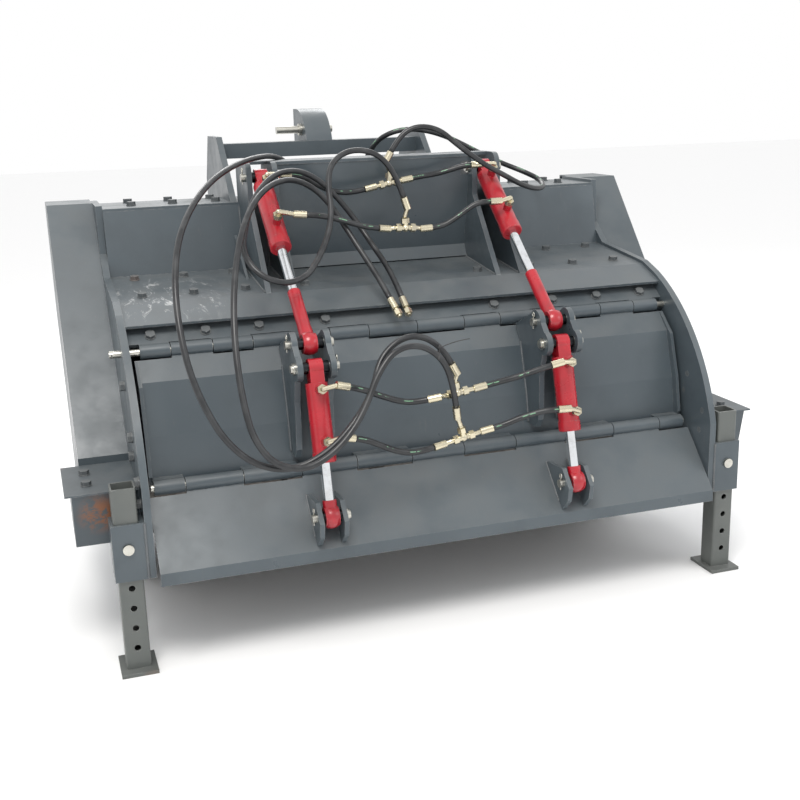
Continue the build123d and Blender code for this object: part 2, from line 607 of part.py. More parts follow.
# ---------------------------------------------------------------- hitch
hitch_outline = [(WALL_TOP[0] + 13, cover_top), (1225.0, 1680.0), (1430.0, 1680.0), (1530.0, 1500.0),
                 (1530.0, 600.0), (1505.0, 568.0), (1465.0, 568.0), (FRONT_Y, 600.0),
                 (FRONT_Y, FRONT_FOLD_Z), (COVER_FRONT_Y, cover_top)]
hitch_beam_z = (1590.0, 1650.0)
hitch_beam_y = (1260.0, 1340.0)
hitch_parts = [block(HITCH_X - HITCH_HALF, HITCH_X + HITCH_HALF, *hitch_beam_y, *hitch_beam_z)]
for side in (-1, 1):
    x0, x1 = sorted((HITCH_X + side * HITCH_HALF, HITCH_X + side * (HITCH_HALF - HITCH_T)))
    hitch_parts.append(slab(hitch_outline, x0, x1))
bracket_mid = (BRACKET_AXIS[0] - BRACKET_R * math.sqrt(0.5), BRACKET_AXIS[1] + BRACKET_R * math.sqrt(0.5))
bracket_top = BRACKET_AXIS[1] + BRACKET_R
bracket_back = BRACKET_AXIS[0] - BRACKET_R


def bracket_face():
    """Side plate of the top-link bracket: a quarter round behind, then a flat top."""
    rest = Polyline((BRACKET_AXIS[0], bracket_top), (BRACKET_FRONT_Y, bracket_top),
                    (BRACKET_FRONT_Y, BRACKET_AXIS[1] + 40), (hitch_beam_y[1], hitch_beam_z[0]),
                    (bracket_back, hitch_beam_z[0]), (bracket_back, BRACKET_AXIS[1]))
    back = ThreePointArc((bracket_back, BRACKET_AXIS[1]), bracket_mid, (BRACKET_AXIS[0], bracket_top))
    return make_face(back + rest)


for side in (-1, 1):
    x0 = HITCH_X + side * (BRACKET_HALF - BRACKET_T / 2) - BRACKET_T / 2
    hitch_parts.append(extrude(Plane.YZ.offset(x0) * bracket_face(), amount=BRACKET_T, dir=(1, 0, 0)))
bracket_x = (HITCH_X - BRACKET_HALF, HITCH_X + BRACKET_HALF)
wrap = cross_rod(*bracket_x, BRACKET_AXIS, BRACKET_R) - cross_rod(*bracket_x, BRACKET_AXIS, BRACKET_R - SHEET)
wrap = wrap & block(*bracket_x, bracket_back, BRACKET_AXIS[0], BRACKET_AXIS[1], bracket_top)
hitch_parts.append(wrap)
hitch_parts.append(block(*bracket_x, BRACKET_AXIS[0] - 1, BRACKET_FRONT_Y, bracket_top - SHEET, bracket_top))
hitch_frame = fuse(hitch_parts) - cross_rod(bracket_x[0] - 1, bracket_x[1] + 1, TOP_PIN_AT,
                                            TOP_PIN_D / 2 + RUN_FIT)

for side in (-1, 1):
    inner = HITCH_X + side * (HITCH_HALF - HITCH_T - 30)
    plate_out = HITCH_X + side * HITCH_HALF
    tip = plate_out + side * LINK_PIN_LEN
    pin = cross_rod(inner, tip, LINK_PIN_AT, LINK_PIN_D / 2)
    pin += hexagon((inner, *LINK_PIN_AT), (inner + side * 30, *LINK_PIN_AT), 55.0)
    hitch_frame += pin

top_pin_tail = 110.0
top_pin = cross_rod(bracket_x[0] - top_pin_tail, bracket_x[1] + 22, TOP_PIN_AT, TOP_PIN_D / 2)
top_pin += cross_rod(bracket_x[0] - 14, bracket_x[0], TOP_PIN_AT, TOP_PIN_D / 2 + 9)

# ---------------------------------------------------------------- gearbox and shafts
gear_y, gear_z = UPPER_SHAFT
gear_x = HITCH_X
casting = block(gear_x - GEARBOX[0] / 2, gear_x + GEARBOX[0] / 2, gear_y - GEARBOX[1] / 2,
                gear_y + GEARBOX[1] / 2, gear_z - GEARBOX[2] / 2, gear_z + GEARBOX[2] / 2)
casting = fillet(casting.edges(), 18.0)
tube_r = 48.0
casting += cross_rod(-INNER_HALF, INNER_HALF, UPPER_SHAFT, tube_r)
casting += rod((gear_x, gear_y + GEARBOX[1] / 2 - 5, gear_z), (gear_x, FRONT_Y - SHEET - 15, gear_z), 62.0)
casting -= cross_rod(gear_x - 92, gear_x + 92, UPPER_SHAFT, 92.0)
casting -= cross_rod(-INNER_HALF - 1, INNER_HALF + 1, UPPER_SHAFT, UPPER_SHAFT_D / 2 + 6)
casting -= rod((gear_x, gear_y, gear_z), (gear_x, gear_y + 96, gear_z), 86.0)
casting -= rod((gear_x, gear_y, gear_z), (gear_x, FRONT_Y, gear_z), UPPER_SHAFT_D / 2 + RUN_FIT)
gearbox_housing = casting

gear_back = 45.0
gear_face = 80.0
gear_gap = 1.0
shaft_end = COVER_HALF - CASING_T - 14
cross_shaft = cross_rod(-shaft_end, shaft_end, UPPER_SHAFT, UPPER_SHAFT_D / 2)
cross_shaft += cone((gear_x + gear_back, *UPPER_SHAFT), (gear_x + gear_face, *UPPER_SHAFT),
                    gear_back - gear_gap, gear_face - gear_gap)
input_shaft = rod((gear_x, gear_y + gear_back, gear_z), (gear_x, FRONT_Y - 20, gear_z), UPPER_SHAFT_D / 2)
input_shaft += rod((gear_x, FRONT_Y - 20, gear_z), (gear_x, FRONT_Y + 95, gear_z), PTO_D / 2)
input_shaft += cone((gear_x, gear_y + gear_back, gear_z), (gear_x, gear_y + gear_face, gear_z),
                    gear_back - gear_gap, gear_face - gear_gap)

# shelf that carries the gearbox, welded inside the front panel
shelf_z = gear_z - GEARBOX[2] / 2
shelf = block(gear_x - 200, gear_x + 200, gear_y - 150, FRONT_Y - SHEET, shelf_z - 16, shelf_z)
for side in (-1, 1):
    x0 = gear_x + side * 190 - 8
    shelf += slab([(gear_y - 120, shelf_z - 16), (FRONT_Y - SHEET, shelf_z - 16),
                   (FRONT_Y - SHEET, beam_z[1] + 10)], x0, x0 + 16)
front_cover += shelf
front_cover -= rod((gear_x, FRONT_Y - 60, gear_z), (gear_x, FRONT_Y + 60, gear_z), 70.0)

# ---------------------------------------------------------------- rotor and drive
drum_half = INNER_HALF - 30.0
drum = cross_rod(-drum_half, drum_half, ROTOR, DRUM_OD / 2)
drum -= cross_rod(-drum_half + 30, drum_half - 30, ROTOR, DRUM_OD / 2 - 20)
rotor_drum = drum + cross_rod(-shaft_end, -drum_half + 5, ROTOR, SHAFT_D / 2)
rotor_drum += cross_rod(drum_half - 5, shaft_end, ROTOR, SHAFT_D / 2)

TOOTH_COUNT = 40
TOOTH_STEPS = 17           # each tooth stands this many fortieths of a turn past the one before
holder_top = DRUM_OD / 2 + 30.0
tooth = block(-26, 26, -34, 34, DRUM_OD / 2 - 12, holder_top)
tooth += slab([(-30, holder_top - 2), (10, holder_top - 2), (24, TOOTH_TIP_R), (8, TOOTH_TIP_R)], -20, 20)
tooth -= cross_rod(-60, 60, (0, 0), DRUM_OD / 2)
rotor_teeth = []
for i in range(TOOTH_COUNT):
    x = (drum_half - 45) * (2 * i / (TOOTH_COUNT - 1) - 1)
    rotor_teeth.append(Pos(x, *ROTOR) * Rot(360 * TOOTH_STEPS * i / TOOTH_COUNT, 0, 0) * tooth)

pulley_x = (side_out + 60, side_out + 60 + PULLEY_W)


def pulley(centre, radius, bore_r):
    lip = 8.0
    shape = cross_rod(*pulley_x, centre, radius)
    shape += cross_rod(pulley_x[0], pulley_x[0] + lip, centre, radius + BELT_T)
    shape += cross_rod(pulley_x[1] - lip, pulley_x[1], centre, radius + BELT_T)
    return shape - cross_rod(pulley_x[0] - 1, pulley_x[1] + 1, centre, bore_r)


def belt_loop(extra):
    ring = make_hull((Pos(*UPPER_SHAFT) * Circle(PULLEY_UPPER_R + extra)).edges()
                     + (Pos(*ROTOR) * Circle(PULLEY_LOWER_R + extra)).edges())
    return extrude(Plane.YZ.offset(pulley_x[0] + 9) * ring, amount=PULLEY_W - 18, dir=(1, 0, 0))


upper_pulley = pulley(UPPER_SHAFT, PULLEY_UPPER_R, UPPER_SHAFT_D / 2)
lower_pulley = pulley(ROTOR, PULLEY_LOWER_R, SHAFT_D / 2)
belt = belt_loop(BELT_T) - belt_loop(0.5)


def bearing(centre, shaft_r, outer):
    """Flanged bearing housing on the outside of a side plate."""
    shape = cross_rod(side_out, side_out + 16, centre, outer)
    shape += cross_rod(side_out, side_out + 44, centre, outer * 0.68)
    return shape - cross_rod(side_out - 1, side_out + 50, centre, shaft_r + RUN_FIT)


bearings = both(bearing(ROTOR, SHAFT_D / 2, 105.0)) + both(bearing(UPPER_SHAFT, UPPER_SHAFT_D / 2, 85.0))

# ---------------------------------------------------------------- drive covers and boxes
box_front = 435.0
cover_outline = [(1130.0, cover_top + proud), (1330.0, cover_top + proud), (1330.0, 980.0), (890.0, 278.0),
                 (590.0, 278.0), (box_front, 407.0), (box_front, 628.0)]


def casing(points, x1):
    """Drive casing pressed from sheet, open towards the side plate."""
    face = make_face(Polyline(*points, close=True))
    hollow = offset(face, amount=-CASING_T, kind=Kind.INTERSECTION)
    outer = extrude(Plane.YZ.offset(side_out) * face, amount=x1 - side_out, dir=(1, 0, 0))
    depth = x1 - CASING_T - side_out
    inner = extrude(Plane.YZ.offset(side_out - 1) * hollow, amount=depth + 1, dir=(1, 0, 0))
    return outer - inner


drive_cover = casing(cover_outline, COVER_HALF)
lid_z = 602.0
box_back = 127.0
drive_box = casing([(box_back, lid_z - CASING_T), (box_back + 38, 407.0), (box_front, 407.0),
                    (box_front, lid_z - CASING_T)], BOX_HALF)
drive_box += block(side_out, LID_HALF, box_back - 8, box_front, lid_z - CASING_T, lid_z)
box_bolts = []
for y in (210.0, 330.0):
    box_bolts.append(((side_out + 160, y, lid_z), UP, CASING_T))
drive_box = cut(drive_box, [bolt_hole(*b) for b in box_bolts])

# ---------------------------------------------------------------- parking legs
leg_x = side_out + SLEEVE_PAD + SLEEVE_WALL + SLEEVE_GAP + LEG_TUBE / 2
leg_y = SLEEVE_WALL + SLEEVE_GAP + LEG_TUBE / 2
sleeve_half = LEG_TUBE / 2 + SLEEVE_GAP + SLEEVE_WALL
cavity = LEG_TUBE / 2 + SLEEVE_GAP
pin_z = LEG_HOLE_FIRST + LEG_HOLE_PITCH * LEG_PIN_HOLE
sleeve = block(leg_x - sleeve_half, leg_x + sleeve_half, leg_y - sleeve_half, leg_y + sleeve_half, *SLEEVE_Z)
sleeve -= block(leg_x - cavity, leg_x + cavity, leg_y - cavity, leg_y + cavity,
                SLEEVE_Z[0] - 1, SLEEVE_Z[1] + 1)
sleeve += block(side_out, leg_x - sleeve_half, leg_y - sleeve_half, leg_y + sleeve_half, *SLEEVE_Z)


def leg_hole(z):
    return rod((leg_x, leg_y - 80, z), (leg_x, leg_y + 80, z), LEG_HOLE_D / 2)


sleeve -= leg_hole(pin_z)
leg = block(leg_x - LEG_TUBE / 2, leg_x + LEG_TUBE / 2, leg_y - LEG_TUBE / 2, leg_y + LEG_TUBE / 2,
            FOOT[2], LEG_TOP_Z)
leg = fillet(leg.edges().filter_by(Axis.Z), 8.0)
core = LEG_TUBE / 2 - LEG_WALL
leg -= block(leg_x - core, leg_x + core, leg_y - core, leg_y + core, FOOT[2], LEG_TOP_Z + 1)
leg += block(leg_x - FOOT[0] / 2, leg_x + FOOT[0] / 2, leg_y - FOOT[1] / 2, leg_y + FOOT[1] / 2, 0, FOOT[2])
for i in range(LEG_PIN_HOLE + 2):
    leg -= leg_hole(LEG_HOLE_FIRST + LEG_HOLE_PITCH * i)
leg_pin_r = LEG_HOLE_D / 2 - RUN_FIT
leg_pin = rod((leg_x, leg_y - sleeve_half - 10, pin_z), (leg_x, leg_y + sleeve_half + 22, pin_z), leg_pin_r)
leg_pin += rod((leg_x, leg_y - sleeve_half - 10, pin_z), (leg_x, leg_y - sleeve_half, pin_z), 18.0)

# rubber curtain under the front beam
curtain = []
STRIP_W = 98.0
strip_pitch = 103.0
strip_count = int(2 * INNER_HALF / strip_pitch)
for i in range(strip_count):
    x = (i - (strip_count - 1) / 2) * strip_pitch
    curtain.append(block(x - STRIP_W / 2, x + STRIP_W / 2, beam_y[0] - 8, beam_y[0], 190.0, 735.0))

frame_bolts = [bolt(*b) for b in deck_bolts + cover_bolts + leaf_bolts]
for side_bolt in side_bolts + box_bolts:
    frame_bolts += both(bolt(*side_bolt))

# ---------------------------------------------------------------- hoses and fittings
ROUTES = {
    "hose_upper_rod_left": [
        (-352, 522, 1416), (-305, 516, 1412), (-230, 535, 1392), (-150, 550, 1364),
        (-105, 557, 1352), (-67, 560, 1347)],
    "hose_upper_rod_right": [
        (144, 560, 1336), (185, 557, 1338), (240, 548, 1370), (300, 538, 1412),
        (335, 533, 1424), (372, 530, 1424)],
    "hose_upper_base_left": [
        (-362, 700, 1549), (-322, 706, 1545), (-262, 733, 1510), (-195, 747, 1476),
        (-118, 748, 1466), (-61, 745, 1478)],
    "hose_upper_base_right": [
        (132, 745, 1511), (172, 745, 1517), (230, 748, 1522), (295, 735, 1538),
        (335, 718, 1551), (368, 706, 1553)],
    "hose_lower_base_left": [
        (-372, -30, 905), (-330, -25, 893), (-260, 5, 856), (-180, 15, 822),
        (-125, 10, 816), (-87, 0, 823)],
    "hose_lower_base_right": [
        (126, 0, 850), (165, 0, 856), (230, -8, 868), (290, -20, 885),
        (330, -25, 896), (362, -28, 903)],
    "hose_lower_rod_left": [
        (-372, -78, 742), (-335, -76, 733), (-280, -60, 702), (-210, -42, 664),
        (-140, -30, 648), (-76, -20, 657)],
    "hose_lower_rod_right": [
        (143, -20, 700), (185, -24, 708), (240, -40, 732), (295, -62, 750),
        (330, -76, 757), (364, -80, 757)],
    "hose_upper_rod_supply": [
        (30, 550, 1455), (0, 557, 1550), (-64, 584, 1625), (-160, 599, 1638), (-241, 574, 1593),
        (-269, 517, 1515), (-275, 455, 1432), (-307, 403, 1346), (-360, 352, 1270), (-423, 302, 1203),
        (-518, 264, 1192), (-603, 272, 1245), (-633, 324, 1329), (-603, 391, 1403), (-562, 456, 1475),
        (-505, 524, 1532), (-431, 590, 1568), (-341, 646, 1568), (-252, 678, 1522), (-180, 680, 1445),
        (-123, 653, 1362), (-85, 599, 1283), (-63, 529, 1228), (-52, 449, 1174), (-46, 372, 1110)],
    "hose_upper_base_supply": [
        (48, 745, 1614), (87, 744, 1678), (159, 737, 1711), (240, 722, 1694), (296, 695, 1641),
        (350, 664, 1593), (413, 648, 1548), (489, 653, 1509), (568, 682, 1470), (652, 723, 1445),
        (723, 786, 1446), (741, 871, 1472), (697, 950, 1503), (617, 986, 1538), (535, 1008, 1578),
        (455, 1014, 1620), (373, 1012, 1658), (288, 1012, 1684), (199, 1024, 1692), (119, 1056, 1668),
        (79, 1114, 1612), (61, 1169, 1542)],
    "hose_lower_rod_supply": [
        (3, -30, 794), (-14, -48, 887), (-52, -50, 977), (-130, -46, 1030), (-223, -58, 1020),
        (-290, -84, 950), (-334, -112, 868), (-393, -145, 794), (-472, -175, 731), (-566, -192, 694),
        (-664, -185, 719), (-720, -152, 801), (-736, -114, 900), (-740, -69, 1000), (-735, -16, 1096),
        (-721, 47, 1183), (-700, 117, 1262), (-672, 192, 1334), (-637, 271, 1399), (-593, 351, 1457),
        (-538, 429, 1506), (-467, 503, 1539), (-379, 565, 1543), (-289, 598, 1497), (-222, 592, 1412),
        (-180, 548, 1325), (-146, 485, 1249), (-120, 412, 1182), (-102, 338, 1116)],
    "hose_lower_base_supply": [
        (0, 0, 940), (-43, 0, 1018), (-157, -11, 1062), (-262, -29, 997), (-306, -71, 888),
        (-384, -116, 802), (-479, -145, 727), (-595, -150, 683), (-714, -157, 714),
        (-803, -147, 798), (-856, -109, 903), (-889, -63, 1012), (-902, -10, 1122),
        (-900, 55, 1226), (-884, 136, 1316), (-854, 228, 1391), (-810, 324, 1452),
        (-756, 420, 1505), (-693, 516, 1549), (-622, 609, 1581), (-545, 702, 1603),
        (-466, 794, 1614), (-387, 887, 1613), (-312, 980, 1585), (-275, 1040, 1530)],
}


def hose(name, points):
    radii = []
    for before, corner, after in zip(points, points[1:], points[2:]):
        run_in = Vector(*corner) - Vector(*before)
        run_out = Vector(*after) - Vector(*corner)
        half_turn = math.radians(run_in.get_angle(run_out) / 2)
        radii.append(0.45 * min(run_in.length, run_out.length) / math.tan(half_turn))
    path = FilletPolyline(*points, radius=radii)
    start = Plane(origin=points[0], z_dir=Vector(*points[1]) - Vector(*points[0]))
    solid = sweep(start * Circle(HOSE_D / 2), path=path)
    print(name, "length", round(path.length), "smallest radius", round(min(radii)),
          "volume ratio", round(solid.volume / (path.length * math.pi * HOSE_D ** 2 / 4), 4))
    return solid


def fitting(tip, after, base, base_dir, stand, nut=30.0):
    """Ferrule in line with the hose's end, an elbow stem, and a nut on the port or tee."""
    outward = (Vector(*tip) - Vector(*after)).normalized()
    ferrule_end = Vector(*tip) + outward * FERRULE_LEN
    corner = Vector(*base) + Vector(*base_dir).normalized() * stand
    nut_end = Vector(*base) + Vector(*base_dir).normalized() * 18
    shape = rod(tip, tuple(ferrule_end), FERRULE_D / 2)
    shape += rod(tuple(ferrule_end - outward * 5), tuple(corner), 8.5)
    shape += Pos(*corner) * Sphere(8.5)
    shape += rod(tuple(base), tuple(corner), 8.5)
    return shape + hexagon(tuple(base), tuple(nut_end), nut)


def port_top(start, direction, s, stack):
    return at(start, direction, s, stack, -(BARREL_OD / 2 + BOSS_H))


def port_fitting(name, end, start, direction, s, stack):
    points = ROUTES[name]
    tip, after = (points[0], points[1]) if end == 0 else (points[-1], points[-2])
    outward = (0, direction[1], -direction[0])
    return fitting(tip, after, port_top(start, direction, s, stack), outward, 30.0)


def tee(centre, branches):
    """Tee with a ferrule for each hose end that meets it."""
    shape = Pos(*centre) * Sphere(15.0)
    for name, end in branches:
        points = ROUTES[name]
        tip, after = (points[0], points[1]) if end == 0 else (points[-1], points[-2])
        outward = (Vector(*tip) - Vector(*centre)).normalized()
        shape += rod(centre, tuple(Vector(*centre) + outward * 34), 11.0)
        base = Vector(*centre) + outward * 20
        shape += fitting(tip, after, tuple(base), tuple(outward), 26.0, 28.0)
    return shape


upper_fittings = [
    port_fitting("hose_upper_rod_left", 0, TOWER_PIN, upper_dir, UPPER_PORTS[1], -STACK_X),
    port_fitting("hose_upper_rod_right", 1, TOWER_PIN, upper_dir, UPPER_PORTS[1], STACK_X),
    port_fitting("hose_upper_base_left", 0, TOWER_PIN, upper_dir, UPPER_PORTS[0], -STACK_X),
    port_fitting("hose_upper_base_right", 1, TOWER_PIN, upper_dir, UPPER_PORTS[0], STACK_X),
    tee((38, 560, 1341), [("hose_upper_rod_left", 1), ("hose_upper_rod_right", 0),
                          ("hose_upper_rod_supply", 0)]),
    tee((36, 745, 1496), [("hose_upper_base_left", 1), ("hose_upper_base_right", 0),
                          ("hose_upper_base_supply", 0)])]
lower_fittings = [
    port_fitting("hose_lower_base_left", 0, HOOD_PIN_LOWER, lower_dir, LOWER_PORTS[0], -STACK_X),
    port_fitting("hose_lower_base_right", 1, HOOD_PIN_LOWER, lower_dir, LOWER_PORTS[0], STACK_X),
    port_fitting("hose_lower_rod_left", 0, HOOD_PIN_LOWER, lower_dir, LOWER_PORTS[1], -STACK_X),
    port_fitting("hose_lower_rod_right", 1, HOOD_PIN_LOWER, lower_dir, LOWER_PORTS[1], STACK_X)]
lower_tees = [
    tee((20, 0, 835), [("hose_lower_base_left", 1), ("hose_lower_base_right", 0),
                       ("hose_lower_base_supply", 0)]),
    tee((33, -20, 680), [("hose_lower_rod_left", 1), ("hose_lower_rod_right", 0),
                         ("hose_lower_rod_supply", 0)])]


def coupling(name):
    """Quick coupling that closes the far end of a supply hose."""
    tip, after = Vector(*ROUTES[name][-1]), Vector(*ROUTES[name][-2])
    d = (tip - after).normalized()
    shape = rod(tuple(tip), tuple(tip + d * FERRULE_LEN), FERRULE_D / 2)
    shape += rod(tuple(tip + d * FERRULE_LEN), tuple(tip + d * 84), 8.5)
    return shape + hexagon(tuple(tip + d * 56), tuple(tip + d * 76), 26.0)


couplings = [coupling(name) for name in ROUTES if name.endswith("supply")]

# ---------------------------------------------------------------- write every node
NODES = {
    "side_plate_left": mirrored(side_plate), "side_plate_right": side_plate, "deck_plate": deck,
    "rear_wall": wall, "front_cover": front_cover, "front_beam": front_beam,
    "rotor_housing": housing, "front_curtain": curtain, "skid_shoes": both(skid),
    "tower_frame": [tower_frame] + tower_gussets, "tower_pins": tower_pins, "hitch_frame": hitch_frame,
    "top_link_pin": top_pin, "gearbox_housing": gearbox_housing,
    "input_shaft": input_shaft, "cross_shaft": cross_shaft, "upper_pulleys": both(upper_pulley),
    "lower_pulleys": both(lower_pulley), "drive_belts": both(belt), "shaft_bearings": bearings,
    "rotor_drum": rotor_drum, "rotor_teeth": rotor_teeth, "drive_covers": both(drive_cover),
    "drive_boxes": both(drive_box),
    "leg_sleeves": both(sleeve), "parking_legs": both(leg), "leg_pin_left": mirrored(leg_pin),
    "leg_pin_right": leg_pin, "hinge_leaf": hinge_leaf, "upper_hinge_pin": upper_hinge_pin,
    "frame_bolts": frame_bolts, "hood_shell": hood_shell, "hood_ears": hood_ears, "hood_pins": hood_pins,
    "lower_hinge_pin": lower_hinge_pin, "flap_plate": flap_plate, "flap_ears": flap_ears,
    "flap_pins": flap_pins, "upper_barrels": upper_barrels, "upper_rods": upper_rods,
    "upper_rod_eyes": upper_eyes, "lower_barrels": lower_barrels, "lower_rods": lower_rods,
    "lower_rod_eyes": lower_eyes, "upper_fittings": upper_fittings, "lower_fittings": lower_fittings,
    "lower_tees": lower_tees, "hose_couplings": couplings,
}
for name, points in ROUTES.items():
    NODES[name] = hose(name, points)


def as_compound(shape):
    solids = []
    for piece in shape if isinstance(shape, list) else [shape]:
        solids += piece.solids()
    return Compound(children=solids)


compounds = {name: as_compound(shape) for name, shape in NODES.items()}
# the supply hoses and their couplings don't count towards the middle of the machine
LOOSE = ["hose_couplings"] + [name for name in ROUTES if name.endswith("supply")]
firm = [compound.bounding_box() for name, compound in compounds.items() if name not in LOOSE]
Y_SHIFT = -(min(box.min.Y for box in firm) + max(box.max.Y for box in firm)) / 2
print("moved along Y by", round(Y_SHIFT, 3))

os.makedirs("parts", exist_ok=True)
for name, compound in compounds.items():
    export_step(Pos(0, Y_SHIFT, 0) * compound, f"parts/{name}.step")
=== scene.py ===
"""The looks of the rotary mulcher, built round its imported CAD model. Metres, +Y forwards, +Z up."""
import json
import math

import bmesh
import bpy
from mathutils import Matrix, Vector


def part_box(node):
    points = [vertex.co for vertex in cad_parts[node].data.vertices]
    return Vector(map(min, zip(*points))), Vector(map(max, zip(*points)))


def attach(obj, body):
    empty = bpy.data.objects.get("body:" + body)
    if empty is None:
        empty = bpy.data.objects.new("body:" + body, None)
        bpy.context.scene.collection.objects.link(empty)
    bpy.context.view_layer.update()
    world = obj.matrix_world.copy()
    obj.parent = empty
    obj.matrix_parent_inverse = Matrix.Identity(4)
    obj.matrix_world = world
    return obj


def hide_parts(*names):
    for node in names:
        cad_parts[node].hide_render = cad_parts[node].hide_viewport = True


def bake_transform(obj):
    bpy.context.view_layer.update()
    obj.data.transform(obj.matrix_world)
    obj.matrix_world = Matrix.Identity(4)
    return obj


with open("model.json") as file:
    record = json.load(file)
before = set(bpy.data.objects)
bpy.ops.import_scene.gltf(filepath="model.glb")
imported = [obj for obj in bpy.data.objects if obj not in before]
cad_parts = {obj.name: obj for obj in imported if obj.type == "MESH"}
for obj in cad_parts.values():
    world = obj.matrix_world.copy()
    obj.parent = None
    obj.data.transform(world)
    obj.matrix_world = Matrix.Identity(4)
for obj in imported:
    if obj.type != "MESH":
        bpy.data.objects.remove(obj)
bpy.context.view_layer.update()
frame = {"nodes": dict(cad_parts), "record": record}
nodes = frame["nodes"]


def box_middle(node):
    low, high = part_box(node)
    return (Vector(low) + Vector(high)) / 2


# The hoses' points are laid out from the rear face of the leg sleeves, as the hinge is.
HINGE_FROM_SLEEVES = 0.363
SHIFT = Vector((0, box_middle("upper_hinge_pin").y - HINGE_FROM_SLEEVES, 0))


def here(x, y, z):
    return Vector((x, y, z)) + SHIFT


# ---------------------------------------------------------------- camera
CAMERA_AT = here(-1.3254, -3.4569, 1.8181)
YAW, PITCH, ROLL = math.radians(18.22), math.radians(15.15), math.radians(-1.583)
LENS_MM = 50.33
SENSOR_MM = 36.0
camera_data = bpy.data.cameras.new("camera")
camera_data.lens = LENS_MM
camera_data.sensor_width = SENSOR_MM
camera = bpy.data.objects.new("camera", camera_data)
bpy.context.scene.collection.objects.link(camera)
forward = Vector((math.sin(YAW) * math.cos(PITCH), math.cos(YAW) * math.cos(PITCH), -math.sin(PITCH)))
level_right = Vector((math.cos(YAW), -math.sin(YAW), 0))
level_up = level_right.cross(forward)
right = level_right * math.cos(ROLL) + level_up * math.sin(ROLL)
up = level_up * math.cos(ROLL) - level_right * math.sin(ROLL)
camera.matrix_world = Matrix.Translation(CAMERA_AT) @ Matrix((right, up, -forward)).transposed().to_4x4()
bpy.context.scene.camera = camera


# ---------------------------------------------------------------- places taken from the CAD model
STACK_X = 0.455        # both cylinder pairs stand this far from the middle
EYE_HALF = 0.0243      # on a clevis pin, the spacer tubes reach from beside the eye
SPACER_END = 0.0475    # to the plates
SCUFFS = here(-0.86, 0.62, 1.155)      # rubbed paint on the left of the deck
BOX_RUST = here(-1.19, 0.13, 0.52)     # rust on the rear face of the left drive box


# ---------------------------------------------------------------- material helpers
class Shader:
    """A node tree with a Principled shader at its end."""

    def __init__(self, name):
        self.material = bpy.data.materials.new(name)
        self.material.use_nodes = True
        self.tree = self.material.node_tree
        self.principled = self.tree.nodes["Principled BSDF"]

    def add(self, kind, values=None, **settings):
        node = self.tree.nodes.new(kind)
        for key, value in settings.items():
            setattr(node, key, value)
        for key, value in (values or {}).items():
            self.feed(node.inputs[key], value)
        return node

    def feed(self, socket, value):
        if isinstance(value, bpy.types.NodeSocket):
            self.tree.links.new(value, socket)
        else:
            socket.default_value = value

    def set(self, **values):
        for key, value in values.items():
            self.feed(self.principled.inputs[key.replace("_", " ")], value)

    def math(self, operation, a, b=0.0, clamp=False):
        node = self.add("ShaderNodeMath", {0: a, 1: b}, operation=operation)
        node.use_clamp = clamp
        return node.outputs[0]

    def noise(self, scale, detail=4.0, roughness=0.55, stretch=None, distortion=0.0):
        coordinates = self.place()
        if stretch:
            coordinates = self.add("ShaderNodeMapping", {"Vector": coordinates, "Scale": stretch}).outputs[0]
        values = {"Vector": coordinates, "Scale": scale, "Detail": detail, "Roughness": roughness,
                  "Distortion": distortion}
        return self.add("ShaderNodeTexNoise", values).outputs["Fac"]

    def place(self):
        return self.add("ShaderNodeTexCoord").outputs["Object"]

    def ramp(self, value, low, high, out_low=0.0, out_high=1.0):
        values = {0: value, 1: low, 2: high, 3: out_low, 4: out_high}
        return self.add("ShaderNodeMapRange", values, interpolation_type="SMOOTHSTEP").outputs[0]

    def mix(self, factor, a, b):
        node = self.add("ShaderNodeMix", data_type="RGBA")
        self.feed(node.inputs[0], factor)
        self.feed(node.inputs[6], a)
        self.feed(node.inputs[7], b)
        return node.outputs[2]

    def bump(self, height, strength, distance, normal=None):
        values = {"Height": height, "Strength": strength, "Distance": distance}
        if normal is not None:
            values["Normal"] = normal
        return self.add("ShaderNodeBump", values).outputs[0]

    def upward(self):
        """1 on a face that looks up, 0 on an upright one."""
        normal = self.add("ShaderNodeNewGeometry").outputs["Normal"]
        height = self.add("ShaderNodeSeparateXYZ", {0: normal}).outputs[2]
        return self.ramp(height, 0.2, 0.95)

    def near(self, spot, inner, outer):
        """1 close to a spot, fading to 0 at the outer distance."""
        values = {0: self.place(), 1: tuple(spot)}
        away = self.add("ShaderNodeVectorMath", values, operation="DISTANCE").outputs["Value"]
        return self.ramp(away, inner, outer, 1.0, 0.0)

    def edge(self, radius):
        """1 along the corners of a part, where paint wears through first."""
        rounded = self.add("ShaderNodeBevel", {"Radius": radius}, samples=4).outputs[0]
        sharp = self.add("ShaderNodeNewGeometry").outputs["True Normal"]
        same = self.add("ShaderNodeVectorMath", {0: rounded, 1: sharp}, operation="DOT_PRODUCT").outputs[1]
        return self.ramp(same, 0.995, 0.85)


def rgb(r, g, b):
    return (r, g, b, 1.0)


